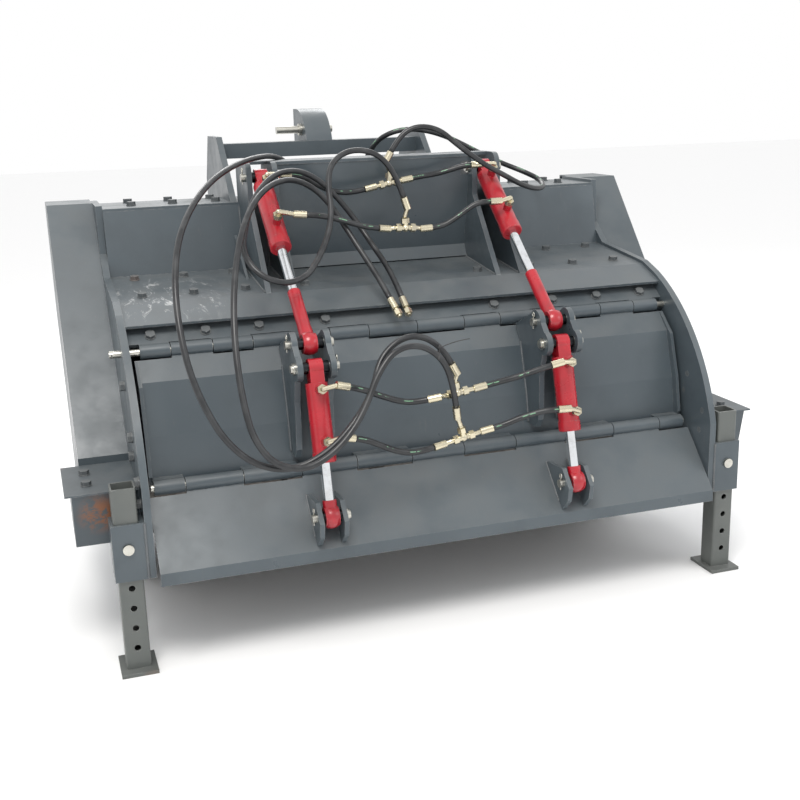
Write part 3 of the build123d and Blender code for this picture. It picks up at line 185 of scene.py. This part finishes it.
SLATE = rgb(0.05, 0.065, 0.076)
SLATE_LIGHT = rgb(0.067, 0.085, 0.097)
CRIMSON = rgb(0.4, 0.01, 0.02)
CRIMSON_DARK = rgb(0.29, 0.007, 0.015)
DUST = rgb(0.2, 0.205, 0.2)
MUD = rgb(0.17, 0.165, 0.15)
BARE_STEEL = rgb(0.27, 0.27, 0.265)
SCUFF = rgb(0.42, 0.43, 0.43)
RUST_SPECK = rgb(0.13, 0.075, 0.04)
RUST_FLAKE = rgb(0.2, 0.075, 0.028)
RUST_PATCH = rgb(0.2, 0.085, 0.035)
RED_CHIP = rgb(0.3, 0.24, 0.22)
RED_GRIME = rgb(0.12, 0.05, 0.045)
METAL_STAIN = rgb(0.14, 0.11, 0.08)
SPACER_DARK = rgb(0.03, 0.032, 0.035)
RUBBER_DUST = rgb(0.12, 0.12, 0.11)
HOSE_BLACK = rgb(0.012, 0.013, 0.015)
HOSE_GREY = rgb(0.028, 0.03, 0.032)
HOSE_DUST = rgb(0.08, 0.082, 0.082)
HOSE_PRINT = rgb(0.2, 0.42, 0.25)
CHROME = rgb(0.8, 0.82, 0.84)
CHROME_FILM = rgb(0.62, 0.63, 0.64)


def painted(name, colour, lighter, roughness=0.34, wear=0.5, rust=0.0, dust=0.35, edge_size=0.004,
            scuffed=None, rusted=None):
    """Sprayed paint on rolled plate: mottled, dusty on top, chipped along its corners."""
    s = Shader(name)
    broad = s.noise(1.6, 3.0)
    cloudy = s.noise(7.0, 5.0, 0.6)
    grain = s.noise(160.0, 3.0, 0.6)
    base = s.mix(s.ramp(broad, 0.32, 0.7), colour, lighter)
    base = s.mix(s.ramp(cloudy, 0.45, 0.75, 0.0, 0.35), base, rgb(*[c * 0.72 for c in colour[:3]]))
    streaks = s.noise(5.0, 6.0, 0.65, stretch=(9.0, 9.0, 0.8))
    dusty = s.math("MULTIPLY", s.upward(), s.ramp(cloudy, 0.3, 0.75, 0.35, 1.0))
    dusty = s.math("MULTIPLY", dusty, dust)
    base = s.mix(dusty, base, DUST)
    base = s.mix(s.ramp(streaks, 0.62, 0.8, 0.0, 0.25), base, MUD)
    chips = s.math("MULTIPLY", s.edge(edge_size), s.ramp(s.noise(38.0, 5.0, 0.7), 0.42, 0.62))
    chips = s.math("MULTIPLY", chips, wear)
    base = s.mix(chips, base, BARE_STEEL)
    specks = s.ramp(s.noise(75.0, 4.0, 0.75), 0.7, 0.76)
    base = s.mix(s.math("MULTIPLY", specks, 0.35 + rust), base, RUST_SPECK)
    if scuffed:
        rubbed = s.ramp(s.noise(26.0, 8.0, 0.8, stretch=(1.0, 0.35, 1.0), distortion=0.8), 0.54, 0.62)
        base = s.mix(s.math("MULTIPLY", rubbed, s.near(scuffed, 0.06, 0.3)), base, SCUFF)
    if rusted:
        flaked = s.ramp(s.noise(16.0, 8.0, 0.75, distortion=0.5), 0.4, 0.5)
        base = s.mix(s.math("MULTIPLY", flaked, s.near(rusted, 0.02, 0.09)), base, RUST_FLAKE)
    if rust:
        patches = s.ramp(s.noise(3.2, 8.0, 0.7, distortion=0.6), 0.6, 0.7)
        base = s.mix(s.math("MULTIPLY", patches, rust), base, RUST_PATCH)
    rough = s.ramp(cloudy, 0.25, 0.8, roughness - 0.07, roughness + 0.16)
    rough = s.math("ADD", rough, s.math("MULTIPLY", dusty, 0.5), clamp=True)
    s.set(Base_Color=base, Roughness=rough, Metallic=0.0)
    s.set(Coat_Weight=0.12, Coat_Roughness=0.25)
    dents = s.bump(broad, 0.25, 0.012)
    orange_peel = s.bump(grain, 0.12, 0.0006, dents)
    s.set(Normal=orange_peel)
    return s.material


def red_paint():
    """Glossy paint of the cylinders, with chipped edges and grime on top."""
    s = Shader("red_paint")
    cloudy = s.noise(11.0, 5.0, 0.6)
    base = s.mix(s.ramp(cloudy, 0.35, 0.75), CRIMSON, CRIMSON_DARK)
    chips = s.math("MULTIPLY", s.edge(0.003), s.ramp(s.noise(55.0, 5.0, 0.7), 0.5, 0.62))
    base = s.mix(chips, base, RED_CHIP)
    grime = s.math("MULTIPLY", s.upward(), s.ramp(s.noise(22.0, 6.0, 0.7), 0.5, 0.75, 0.0, 0.35))
    base = s.mix(grime, base, RED_GRIME)
    s.set(Base_Color=base, Roughness=s.ramp(cloudy, 0.3, 0.8, 0.25, 0.42))
    s.set(Coat_Weight=0.35, Coat_Roughness=0.15)
    s.set(Normal=s.bump(s.noise(120.0, 3.0), 0.15, 0.0006))
    return s.material


def metal(name, colour, darker, roughness, stain=0.3, scratch_scale=300.0, spacers=False):
    """Bare or plated steel; on the clevis pins the spacer tubes beside each eye are dark."""
    s = Shader(name)
    cloudy = s.noise(18.0, 6.0, 0.65)
    base = s.mix(s.ramp(cloudy, 0.35, 0.72), colour, darker)
    spots = s.ramp(s.noise(60.0, 5.0, 0.7), 0.6, 0.72, 0.0, stain)
    base = s.mix(spots, base, METAL_STAIN)
    if spacers:
        across = s.math("ABSOLUTE", s.add("ShaderNodeSeparateXYZ", {0: s.place()}).outputs[0])
        from_eye = s.math("ABSOLUTE", s.math("SUBTRACT", across, STACK_X))
        tube = s.math("MULTIPLY", s.math("GREATER_THAN", from_eye, EYE_HALF),
                      s.math("LESS_THAN", from_eye, SPACER_END))
        base = s.mix(tube, base, SPACER_DARK)
    s.set(Base_Color=base, Metallic=1.0)
    s.set(Roughness=s.ramp(cloudy, 0.3, 0.8, roughness, roughness + 0.16))
    s.set(Normal=s.bump(s.noise(scratch_scale, 2.0), 0.1, 0.0004))
    return s.material


def chrome():
    """Bright plated rod with a thin oily film."""
    s = Shader("chrome_rod")
    film = s.noise(26.0, 5.0, 0.6)
    s.set(Base_Color=s.mix(s.ramp(film, 0.4, 0.8), CHROME, CHROME_FILM))
    s.set(Metallic=1.0, Roughness=s.ramp(film, 0.3, 0.8, 0.06, 0.2))
    s.set(Normal=s.bump(s.noise(420.0, 2.0), 0.04, 0.0002))
    return s.material


def rubber(name, colour, roughness, dust=0.3):
    """Matt rubber or plastic with dust on its upward faces."""
    s = Shader(name)
    cloudy = s.noise(14.0, 5.0, 0.6)
    base = s.mix(s.ramp(cloudy, 0.35, 0.75), colour, rgb(*[c * 1.7 for c in colour[:3]]))
    dusty = s.math("MULTIPLY", s.upward(), s.ramp(cloudy, 0.35, 0.8, 0.0, dust))
    base = s.mix(dusty, base, RUBBER_DUST)
    s.set(Base_Color=base, Roughness=s.ramp(cloudy, 0.3, 0.8, roughness - 0.06, roughness + 0.14))
    s.set(Normal=s.bump(s.noise(260.0, 3.0), 0.25, 0.0006))
    return s.material


PRINT_SIDE = 0.3       # where the printed line runs, as a share of the way round the hose
PRINT_HALF = 0.026     # half of its width, as the same kind of share
DASHES_PER_M = 9.0
DASH_SHARE = 0.42


def hose_cover():
    """Smooth black cover with a faint line of printed dashes along it."""
    s = Shader("hose_rubber")
    uv = s.add("ShaderNodeTexCoord").outputs["UV"]
    split = s.add("ShaderNodeSeparateXYZ", {0: uv})
    around, length = split.outputs[0], split.outputs[1]
    band = s.math("COMPARE", around, PRINT_SIDE)
    band.node.inputs[2].default_value = PRINT_HALF
    dashes = s.math("LESS_THAN", s.math("FRACT", s.math("MULTIPLY", length, DASHES_PER_M)), DASH_SHARE)
    broken = s.math("GREATER_THAN", s.noise(30.0, 4.0, 0.7), 0.5)
    printed = s.math("MULTIPLY", s.math("MULTIPLY", band, dashes), s.math("MULTIPLY", broken, 0.75))
    cloudy = s.noise(16.0, 5.0, 0.6)
    base = s.mix(s.ramp(cloudy, 0.35, 0.75), HOSE_BLACK, HOSE_GREY)
    dusty = s.math("MULTIPLY", s.upward(), s.ramp(cloudy, 0.35, 0.8, 0.0, 0.3))
    base = s.mix(dusty, base, HOSE_DUST)
    base = s.mix(printed, base, HOSE_PRINT)
    s.set(Base_Color=base, Roughness=s.ramp(cloudy, 0.3, 0.8, 0.28, 0.46))
    s.set(Normal=s.bump(s.noise(200.0, 3.0), 0.2, 0.0005))
    return s.material


MATERIALS = {
    "paint": painted("slate_paint", SLATE, SLATE_LIGHT),
    "deck_paint": painted("deck_paint", SLATE, SLATE_LIGHT, wear=0.8, scuffed=SCUFFS),
    "leg_paint": painted("leg_paint", rgb(0.08, 0.09, 0.087), rgb(0.108, 0.115, 0.107), 0.45, 0.8, 0.25),
    "box_paint": painted("box_paint", SLATE, SLATE_LIGHT, 0.4, 0.6, 0.2, rusted=BOX_RUST),
    "red_paint": red_paint(),
    "chrome_rod": chrome(),
    "zinc": metal("zinc", rgb(0.66, 0.6, 0.44), rgb(0.5, 0.46, 0.36), 0.22, 0.2),
    "pin_steel": metal("pin_steel", rgb(0.56, 0.55, 0.5), rgb(0.4, 0.39, 0.35), 0.26, 0.35,
                       spacers=True),
    "cast": painted("cast_paint", rgb(0.07, 0.08, 0.086), rgb(0.09, 0.1, 0.105), 0.5, 0.7, 0.1),
    "machined": metal("machined", rgb(0.55, 0.55, 0.55), rgb(0.4, 0.39, 0.38), 0.2),
    "rotor_steel": metal("rotor_steel", rgb(0.16, 0.15, 0.14), rgb(0.1, 0.09, 0.08), 0.42, 0.6, 120.0),
    "belt_rubber": rubber("belt_rubber", rgb(0.018, 0.018, 0.018), 0.6),
    "curtain_rubber": rubber("curtain_rubber", rgb(0.022, 0.022, 0.023), 0.62, 0.5),
    "hose_rubber": hose_cover(),
    "weld": painted("weld_bead", rgb(0.07, 0.08, 0.087), rgb(0.095, 0.105, 0.112), 0.42, 0.3, 0.1),
    "black_plastic": rubber("black_plastic", rgb(0.014, 0.014, 0.015), 0.4),
    "bolt_paint": painted("bolt_paint", rgb(0.06, 0.069, 0.075), rgb(0.095, 0.104, 0.108), 0.4, 1.0, 0.2,
                          edge_size=0.0022),
}
finish_of = {row["node"]: row["material_slot"] for row in frame["record"]["subparts"]}
finish_of.update({"drive_boxes": "box_paint", "frame_bolts": "bolt_paint", "deck_plate": "deck_paint"})
for name, obj in nodes.items():
    obj.data.materials.clear()
    obj.data.materials.append(MATERIALS[finish_of[name]])


# ---------------------------------------------------------------- hoses
HOSE_D = 0.021
HOSE_R = HOSE_D / 2
HOSE_SIDES = 20
ROUTES = {
    "hose_upper_rod_left": [
        (-0.352, 0.522, 1.416), (-0.305, 0.516, 1.412), (-0.23, 0.535, 1.392), (-0.15, 0.55, 1.364),
        (-0.105, 0.557, 1.352), (-0.067, 0.56, 1.347)],
    "hose_upper_rod_right": [
        (0.144, 0.56, 1.336), (0.185, 0.557, 1.338), (0.24, 0.548, 1.37), (0.3, 0.538, 1.412),
        (0.335, 0.533, 1.424), (0.372, 0.53, 1.424)],
    "hose_upper_base_left": [
        (-0.362, 0.7, 1.549), (-0.322, 0.706, 1.545), (-0.262, 0.733, 1.51), (-0.195, 0.747, 1.476),
        (-0.118, 0.748, 1.466), (-0.061, 0.745, 1.478)],
    "hose_upper_base_right": [
        (0.132, 0.745, 1.511), (0.172, 0.745, 1.517), (0.23, 0.748, 1.522), (0.295, 0.735, 1.538),
        (0.335, 0.718, 1.551), (0.368, 0.706, 1.553)],
    "hose_lower_base_left": [
        (-0.372, -0.03, 0.905), (-0.33, -0.025, 0.893), (-0.26, 0.005, 0.856), (-0.18, 0.015, 0.822),
        (-0.125, 0.01, 0.816), (-0.087, 0, 0.823)],
    "hose_lower_base_right": [
        (0.126, 0, 0.85), (0.165, 0, 0.856), (0.23, -0.008, 0.868), (0.29, -0.02, 0.885),
        (0.33, -0.025, 0.896), (0.362, -0.028, 0.903)],
    "hose_lower_rod_left": [
        (-0.372, -0.078, 0.742), (-0.335, -0.076, 0.733), (-0.28, -0.06, 0.702),
        (-0.21, -0.042, 0.664), (-0.14, -0.03, 0.648), (-0.076, -0.02, 0.657)],
    "hose_lower_rod_right": [
        (0.143, -0.02, 0.7), (0.185, -0.024, 0.708), (0.24, -0.04, 0.732), (0.295, -0.062, 0.75),
        (0.33, -0.076, 0.757), (0.364, -0.08, 0.757)],
    "hose_upper_rod_supply": [
        (0.03, 0.55, 1.455), (0, 0.557, 1.55), (-0.064, 0.584, 1.625), (-0.16, 0.599, 1.638),
        (-0.241, 0.574, 1.593), (-0.269, 0.517, 1.515), (-0.275, 0.455, 1.432), (-0.307, 0.394, 1.353),
        (-0.36, 0.334, 1.284), (-0.423, 0.272, 1.227), (-0.518, 0.234, 1.216), (-0.603, 0.254, 1.259),
        (-0.633, 0.324, 1.329), (-0.603, 0.391, 1.403), (-0.562, 0.456, 1.475), (-0.505, 0.524, 1.532),
        (-0.431, 0.59, 1.568), (-0.341, 0.646, 1.568), (-0.252, 0.678, 1.522), (-0.18, 0.68, 1.445),
        (-0.123, 0.653, 1.362), (-0.085, 0.599, 1.283), (-0.063, 0.529, 1.228), (-0.052, 0.449, 1.174),
        (-0.046, 0.372, 1.11)],
    "hose_upper_base_supply": [
        (0.048, 0.745, 1.614), (0.087, 0.744, 1.678), (0.159, 0.737, 1.711), (0.24, 0.722, 1.694),
        (0.296, 0.695, 1.641), (0.35, 0.664, 1.593), (0.413, 0.648, 1.548), (0.489, 0.653, 1.509),
        (0.568, 0.682, 1.47), (0.652, 0.723, 1.445), (0.723, 0.786, 1.446), (0.741, 0.871, 1.472),
        (0.697, 0.95, 1.503), (0.617, 0.986, 1.538), (0.535, 1.008, 1.578), (0.455, 1.014, 1.62),
        (0.373, 1.012, 1.658), (0.288, 1.012, 1.684), (0.199, 1.024, 1.692), (0.119, 1.056, 1.668),
        (0.079, 1.114, 1.612), (0.061, 1.169, 1.542)],
    "hose_lower_rod_supply": [
        (0.003, -0.03, 0.794), (-0.014, -0.048, 0.887), (-0.052, -0.05, 0.977), (-0.13, -0.046, 1.03),
        (-0.223, -0.058, 1.02), (-0.29, -0.084, 0.95), (-0.334, -0.112, 0.868),
        (-0.393, -0.145, 0.794), (-0.472, -0.175, 0.731), (-0.566, -0.192, 0.694),
        (-0.664, -0.185, 0.719), (-0.72, -0.152, 0.801), (-0.736, -0.114, 0.9), (-0.74, -0.069, 1),
        (-0.735, -0.016, 1.096), (-0.721, 0.047, 1.183), (-0.7, 0.117, 1.262), (-0.672, 0.192, 1.334),
        (-0.637, 0.271, 1.399), (-0.593, 0.351, 1.457), (-0.538, 0.429, 1.506), (-0.467, 0.503, 1.539),
        (-0.379, 0.565, 1.543), (-0.289, 0.598, 1.497), (-0.222, 0.592, 1.412), (-0.18, 0.548, 1.325),
        (-0.146, 0.485, 1.249), (-0.12, 0.412, 1.182), (-0.102, 0.338, 1.116)],
    "hose_lower_base_supply": [
        (0, 0, 0.94), (-0.043, 0, 1.018), (-0.157, -0.011, 1.062), (-0.262, -0.034, 1.001),
        (-0.306, -0.083, 0.897), (-0.384, -0.128, 0.811), (-0.479, -0.15, 0.731),
        (-0.595, -0.15, 0.683), (-0.714, -0.157, 0.714), (-0.803, -0.147, 0.798),
        (-0.856, -0.109, 0.903), (-0.889, -0.063, 1.012), (-0.902, -0.01, 1.122), (-0.9, 0.055, 1.226),
        (-0.884, 0.136, 1.316), (-0.854, 0.228, 1.391), (-0.81, 0.324, 1.452), (-0.756, 0.42, 1.505),
        (-0.693, 0.516, 1.549), (-0.622, 0.609, 1.581), (-0.545, 0.702, 1.603), (-0.466, 0.794, 1.614),
        (-0.387, 0.887, 1.613), (-0.312, 0.98, 1.585), (-0.275, 1.04, 1.53)],
}


def spline_points(points, closeness=12):
    """Points read along the NURBS spline that the route controls."""
    data = bpy.data.curves.new("route", "CURVE")
    data.dimensions = "3D"
    spline = data.splines.new("NURBS")
    spline.points.add(len(points) - 1)
    for control, p in zip(spline.points, points):
        control.co = (*p, 1.0)
    spline.order_u = 3
    spline.use_endpoint_u = True
    spline.resolution_u = closeness
    carrier = bpy.data.objects.new("route", data)
    mesh = bpy.data.meshes.new_from_object(carrier)
    line = [v.co.copy() for v in mesh.vertices]
    bpy.data.objects.remove(carrier)
    bpy.data.curves.remove(data)
    bpy.data.meshes.remove(mesh)
    return line


def line_length(line):
    return sum((b - a).length for a, b in zip(line, line[1:]))


def tangent_at(line, i):
    return (line[min(i + 1, len(line) - 1)] - line[max(i - 1, 0)]).normalized()


def square_to(tangent, side):
    """The part of a direction that is square to a tangent, at length 1."""
    return (side - tangent * side.dot(tangent)).normalized()


def ring_of(mesh, centre, side, other, radius, sides):
    """Vertices on a circle round a centre, in the plane of two directions."""
    ring = []
    for k in range(sides):
        angle = 2 * math.pi * k / sides
        ring.append(mesh.verts.new(centre + (side * math.cos(angle) + other * math.sin(angle)) * radius))
    return ring


def tube_mesh(name, line, radius, sides):
    """Round tube along a line, its rings turned as little as possible, with UVs along and around it."""
    mesh = bmesh.new()
    uv_layer = mesh.loops.layers.uv.new("UVMap")
    side = tangent_at(line, 0).orthogonal().normalized()
    rings, travelled, distance = [], [], 0.0
    for i, p in enumerate(line):
        tangent = tangent_at(line, i)
        side = square_to(tangent, side)
        distance += (p - line[i - 1]).length if i else 0.0
        travelled.append(distance)
        rings.append(ring_of(mesh, p, side, tangent.cross(side), radius, sides))
    for i in range(len(rings) - 1):
        for k in range(sides):
            j = (k + 1) % sides
            face = mesh.faces.new((rings[i][k], rings[i][j], rings[i + 1][j], rings[i + 1][k]))
            face.smooth = True
            spots = ((k, i), (k + 1, i), (k + 1, i + 1), (k, i + 1))
            for loop, (a, b) in zip(face.loops, spots):
                loop[uv_layer].uv = (a / sides, travelled[b])
    mesh.faces.new(rings[0][::-1])
    mesh.faces.new(rings[-1])
    data = bpy.data.meshes.new(name)
    mesh.to_mesh(data)
    mesh.free()
    return data


def new_piece(name, data, finish):
    piece = bpy.data.objects.new(name, data)
    bpy.context.scene.collection.objects.link(piece)
    data.materials.append(MATERIALS[finish])
    return piece


hose_lines = {}
for name, points in ROUTES.items():
    line = spline_points([here(*p) for p in points])
    hose_lines[name] = line
    cover = tube_mesh(name, line, HOSE_R, HOSE_SIDES)
    hose = new_piece(name.replace("hose_", "hose_cover_"), cover, "hose_rubber")
    if name in ("hose_upper_rod_supply", "hose_upper_base_supply"):
        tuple(line[0])
        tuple(line[len(line) // 3])
        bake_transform(hose)
    elif name.startswith("hose_lower") and name.endswith("supply"):
        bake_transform(hose)
    elif name.startswith("hose_lower"):
        port = line[0] if name.endswith("left") else line[-1]
        tee = line[-1] if name.endswith("left") else line[0]
        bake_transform(hose)
        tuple(port)
        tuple(tee)
    else:
        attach(hose, "upper_barrel")
    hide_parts(name)
    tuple(line[0])
    line_length(line)


# ---------------------------------------------------------------- cable tie round the two long loops
TIE_SPOT = here(-0.055, -0.04, 0.99)
TIE_ROOM = HOSE_R + 0.003
TIE_HALF_WIDTH = 0.0024
BAND_T = 0.0014
BAND_STEPS = 40
TIE_HEAD = (0.008, 0.007, 0.006)
HEAD_OUT = 0.003       # middle of the head, beyond the band
TAIL_BEND = Vector((0.05, -0.004, 0.02))
TAIL_END = Vector((0.105, -0.01, 0.024))
TAIL_R = 0.0018
TAIL_SIDES = 6
TOWARD_VIEWER = Vector((-0.3, -1.0, 0.1))


def tie_band(name, centre, spread, reach, side, half_width):
    """Flat strap bent into an oval round two hoses, with its ratchet head. Also gives the head's place."""
    mesh = bmesh.new()
    spread_dir, side_dir = spread.normalized(), side.normalized()
    axis = spread_dir.cross(side_dir).normalized()
    outer = 1.0 + BAND_T / reach
    rings = []
    for i in range(BAND_STEPS):
        angle = 2 * math.pi * i / BAND_STEPS
        out = spread_dir * math.cos(angle) * spread.length + side_dir * math.sin(angle) * reach
        corners = []
        for grow, across in ((1.0, -1), (1.0, 1), (outer, 1), (outer, -1)):
            corners.append(mesh.verts.new(centre + out * grow + axis * half_width * across))
        rings.append(corners)
    for i in range(BAND_STEPS):
        following = rings[(i + 1) % BAND_STEPS]
        for k in range(4):
            j = (k + 1) % 4
            mesh.faces.new((rings[i][k], rings[i][j], following[j], following[k]))
    head = centre + side_dir * (reach + HEAD_OUT)
    size = Matrix.Diagonal((*TIE_HEAD, 1.0))
    bmesh.ops.create_cube(mesh, size=1.0, matrix=Matrix.Translation(head) @ size)
    data = bpy.data.meshes.new(name)
    bmesh.ops.recalc_face_normals(mesh, faces=mesh.faces)
    mesh.to_mesh(data)
    mesh.free()
    return data, head


def closest(line, spot):
    return min(line, key=lambda p: (p - spot).length)


tied = [closest(hose_lines[name], TIE_SPOT) for name in ("hose_lower_rod_supply", "hose_lower_base_supply")]
between = (tied[0] + tied[1]) / 2
apart = (tied[1] - tied[0]) / 2
apart_dir = apart.normalized()
band_side = TOWARD_VIEWER - apart_dir * TOWARD_VIEWER.dot(apart_dir)
stretched = apart_dir * (apart.length + TIE_ROOM)
tie_data, tie_head = tie_band("cable_tie", between, stretched, TIE_ROOM, band_side, TIE_HALF_WIDTH)
tie = new_piece("cable_tie", tie_data, "black_plastic")
tail_line = spline_points([tie_head, tie_head + TAIL_BEND, tie_head + TAIL_END], 8)
tail = new_piece("cable_tie_tail", tube_mesh("tail", tail_line, TAIL_R, TAIL_SIDES), "black_plastic")
for piece in (tie, tail):
    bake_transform(piece)


# ---------------------------------------------------------------- weld beads
CHEEK_HALF_SPAN = 0.060    # outer faces of the tower cheeks, from the middle of a cylinder
EAR_HALF_SPAN = 0.068      # outer faces of the hood ears
EAR_T = 0.020
FLAP_EAR_HALF_SPAN = 0.050
FLAP_EAR_T = 0.016
SIDE_OUT = 1.062           # outer face of a side plate
SLEEVE_OUTER = 0.0995
SLEEVE_LOW, SLEEVE_HIGH = 0.33, 0.52
BEAD_R = 0.0045
BEAD_SIDES = 8
BEAD_STEP = 0.003
RIPPLE = 0.009
SWELL = 0.16
# Where the plates stand on the deck, the hood and the flap, as (y, z).
DECK_JOINT = [(0.54, 1.1412), (0.91, 1.183), (0.961, 1.42)]
HOOD_JOINT = [(0.283, 0.925), (0.280, 0.912), (0.229, 0.735), (0.2115, 0.634)]
FLAP_JOINT = [(0.098, 0.506), (-0.012, 0.389)]


def bead(mesh, line):
    """One weld run: a bead whose ripples swell along it."""
    distance, rings = 0.0, []
    for i, p in enumerate(line):
        tangent = tangent_at(line, i)
        side = square_to(tangent, Vector((1, 0, 0)) if abs(tangent.x) < 0.9 else Vector((0, 1, 0)))
        distance += (p - line[i - 1]).length if i else 0.0
        swell = BEAD_R * (1.0 + SWELL * math.sin(2 * math.pi * distance / RIPPLE))
        rings.append(ring_of(mesh, p, side, tangent.cross(side), swell, BEAD_SIDES))
    for a, b in zip(rings, rings[1:]):
        for k in range(BEAD_SIDES):
            j = (k + 1) % BEAD_SIDES
            face = mesh.faces.new((a[k], a[j], b[j], b[k]))
            face.smooth = True
    mesh.faces.new(rings[0][::-1])
    mesh.faces.new(rings[-1])


def finely(points):
    """The same straight runs, cut into short steps."""
    line = []
    for a, b in zip(points, points[1:]):
        count = max(int((b - a).length / BEAD_STEP), 1)
        line += [a.lerp(b, i / count) for i in range(count)]
    return line + [points[-1]]


def weld_piece(name, body, runs):
    """All the weld runs of one body, as one piece."""
    mesh = bmesh.new()
    for run in runs:
        bead(mesh, finely(run))
    data = bpy.data.meshes.new(name)
    mesh.to_mesh(data)
    mesh.free()
    piece = new_piece(name, data, "weld")
    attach(piece, body)


def side_runs(joint, half_span, plate):
    """A run on both faces of each plate of a stack, on the left and on the right."""
    runs = []
    for middle in (-STACK_X, STACK_X):
        for offset in (-half_span, -half_span + plate, half_span - plate, half_span):
            runs.append([here(middle + offset, y, z) for y, z in joint])
    return runs


sleeve_runs = []
for side in (-1, 1):
    for y in (0.0, SLEEVE_OUTER):
        sleeve_runs.append([here(side * SIDE_OUT, y, SLEEVE_LOW), here(side * SIDE_OUT, y, SLEEVE_HIGH)])
weld_piece("tower_welds", "root", side_runs(DECK_JOINT, CHEEK_HALF_SPAN, EAR_T) + sleeve_runs)
weld_piece("hood_welds", "hood", side_runs(HOOD_JOINT, EAR_HALF_SPAN, EAR_T))
weld_piece("flap_welds", "flap", side_runs(FLAP_JOINT, FLAP_EAR_HALF_SPAN, FLAP_EAR_T))

# ---------------------------------------------------------------- floor and light
FLOOR_HALF = 30.0
FLOOR_DROP = 0.001     # keeps the floor just under the feet
floor_mesh = bpy.data.meshes.new("floor")
corners = [(-FLOOR_HALF, -FLOOR_HALF, 0), (FLOOR_HALF, -FLOOR_HALF, 0), (FLOOR_HALF, FLOOR_HALF, 0),
           (-FLOOR_HALF, FLOOR_HALF, 0)]
floor_mesh.from_pydata(corners, [], [(0, 1, 2, 3)])
floor = bpy.data.objects.new("floor", floor_mesh)
floor.location.z = -FLOOR_DROP
bpy.context.scene.collection.objects.link(floor)
floor_paint = Shader("floor_paint")
floor_paint.set(Base_Color=rgb(0.95, 0.95, 0.95), Roughness=0.9)
floor_mesh.materials.append(floor_paint.material)

world = bpy.data.worlds.new("world")
bpy.context.scene.world = world
world.use_nodes = True
background = world.node_tree.nodes["Background"]
background.inputs["Color"].default_value = rgb(1.0, 1.0, 1.0)
background.inputs["Strength"].default_value = 1.0
bpy.context.scene.view_settings.view_transform = "Standard"


def area_light(name, at, target, size, power, colour=(1, 1, 1)):
    """Rectangular lamp that faces its target."""
    data = bpy.data.lights.new(name, "AREA")
    data.shape = "RECTANGLE"
    data.size, data.size_y = size
    data.energy = power
    data.color = colour
    lamp = bpy.data.objects.new(name, data)
    lamp.location = at
    lamp.rotation_euler = (Vector(target) - Vector(at)).to_track_quat("-Z", "Y").to_euler()
    bpy.context.scene.collection.objects.link(lamp)


area_light("key", (-1.6, -3.2, 5.6), (0, 0, 0.8), (2.4, 2.4), 230.0, (1.0, 0.98, 0.95))
area_light("fill", (4.5, -3.5, 3.4), (0, 0, 0.8), (3.0, 2.4), 40.0, (0.95, 0.97, 1.0))
area_light("rim", (0.5, 4.5, 4.5), (0, 0, 1.0), (4.0, 2.0), 120.0)
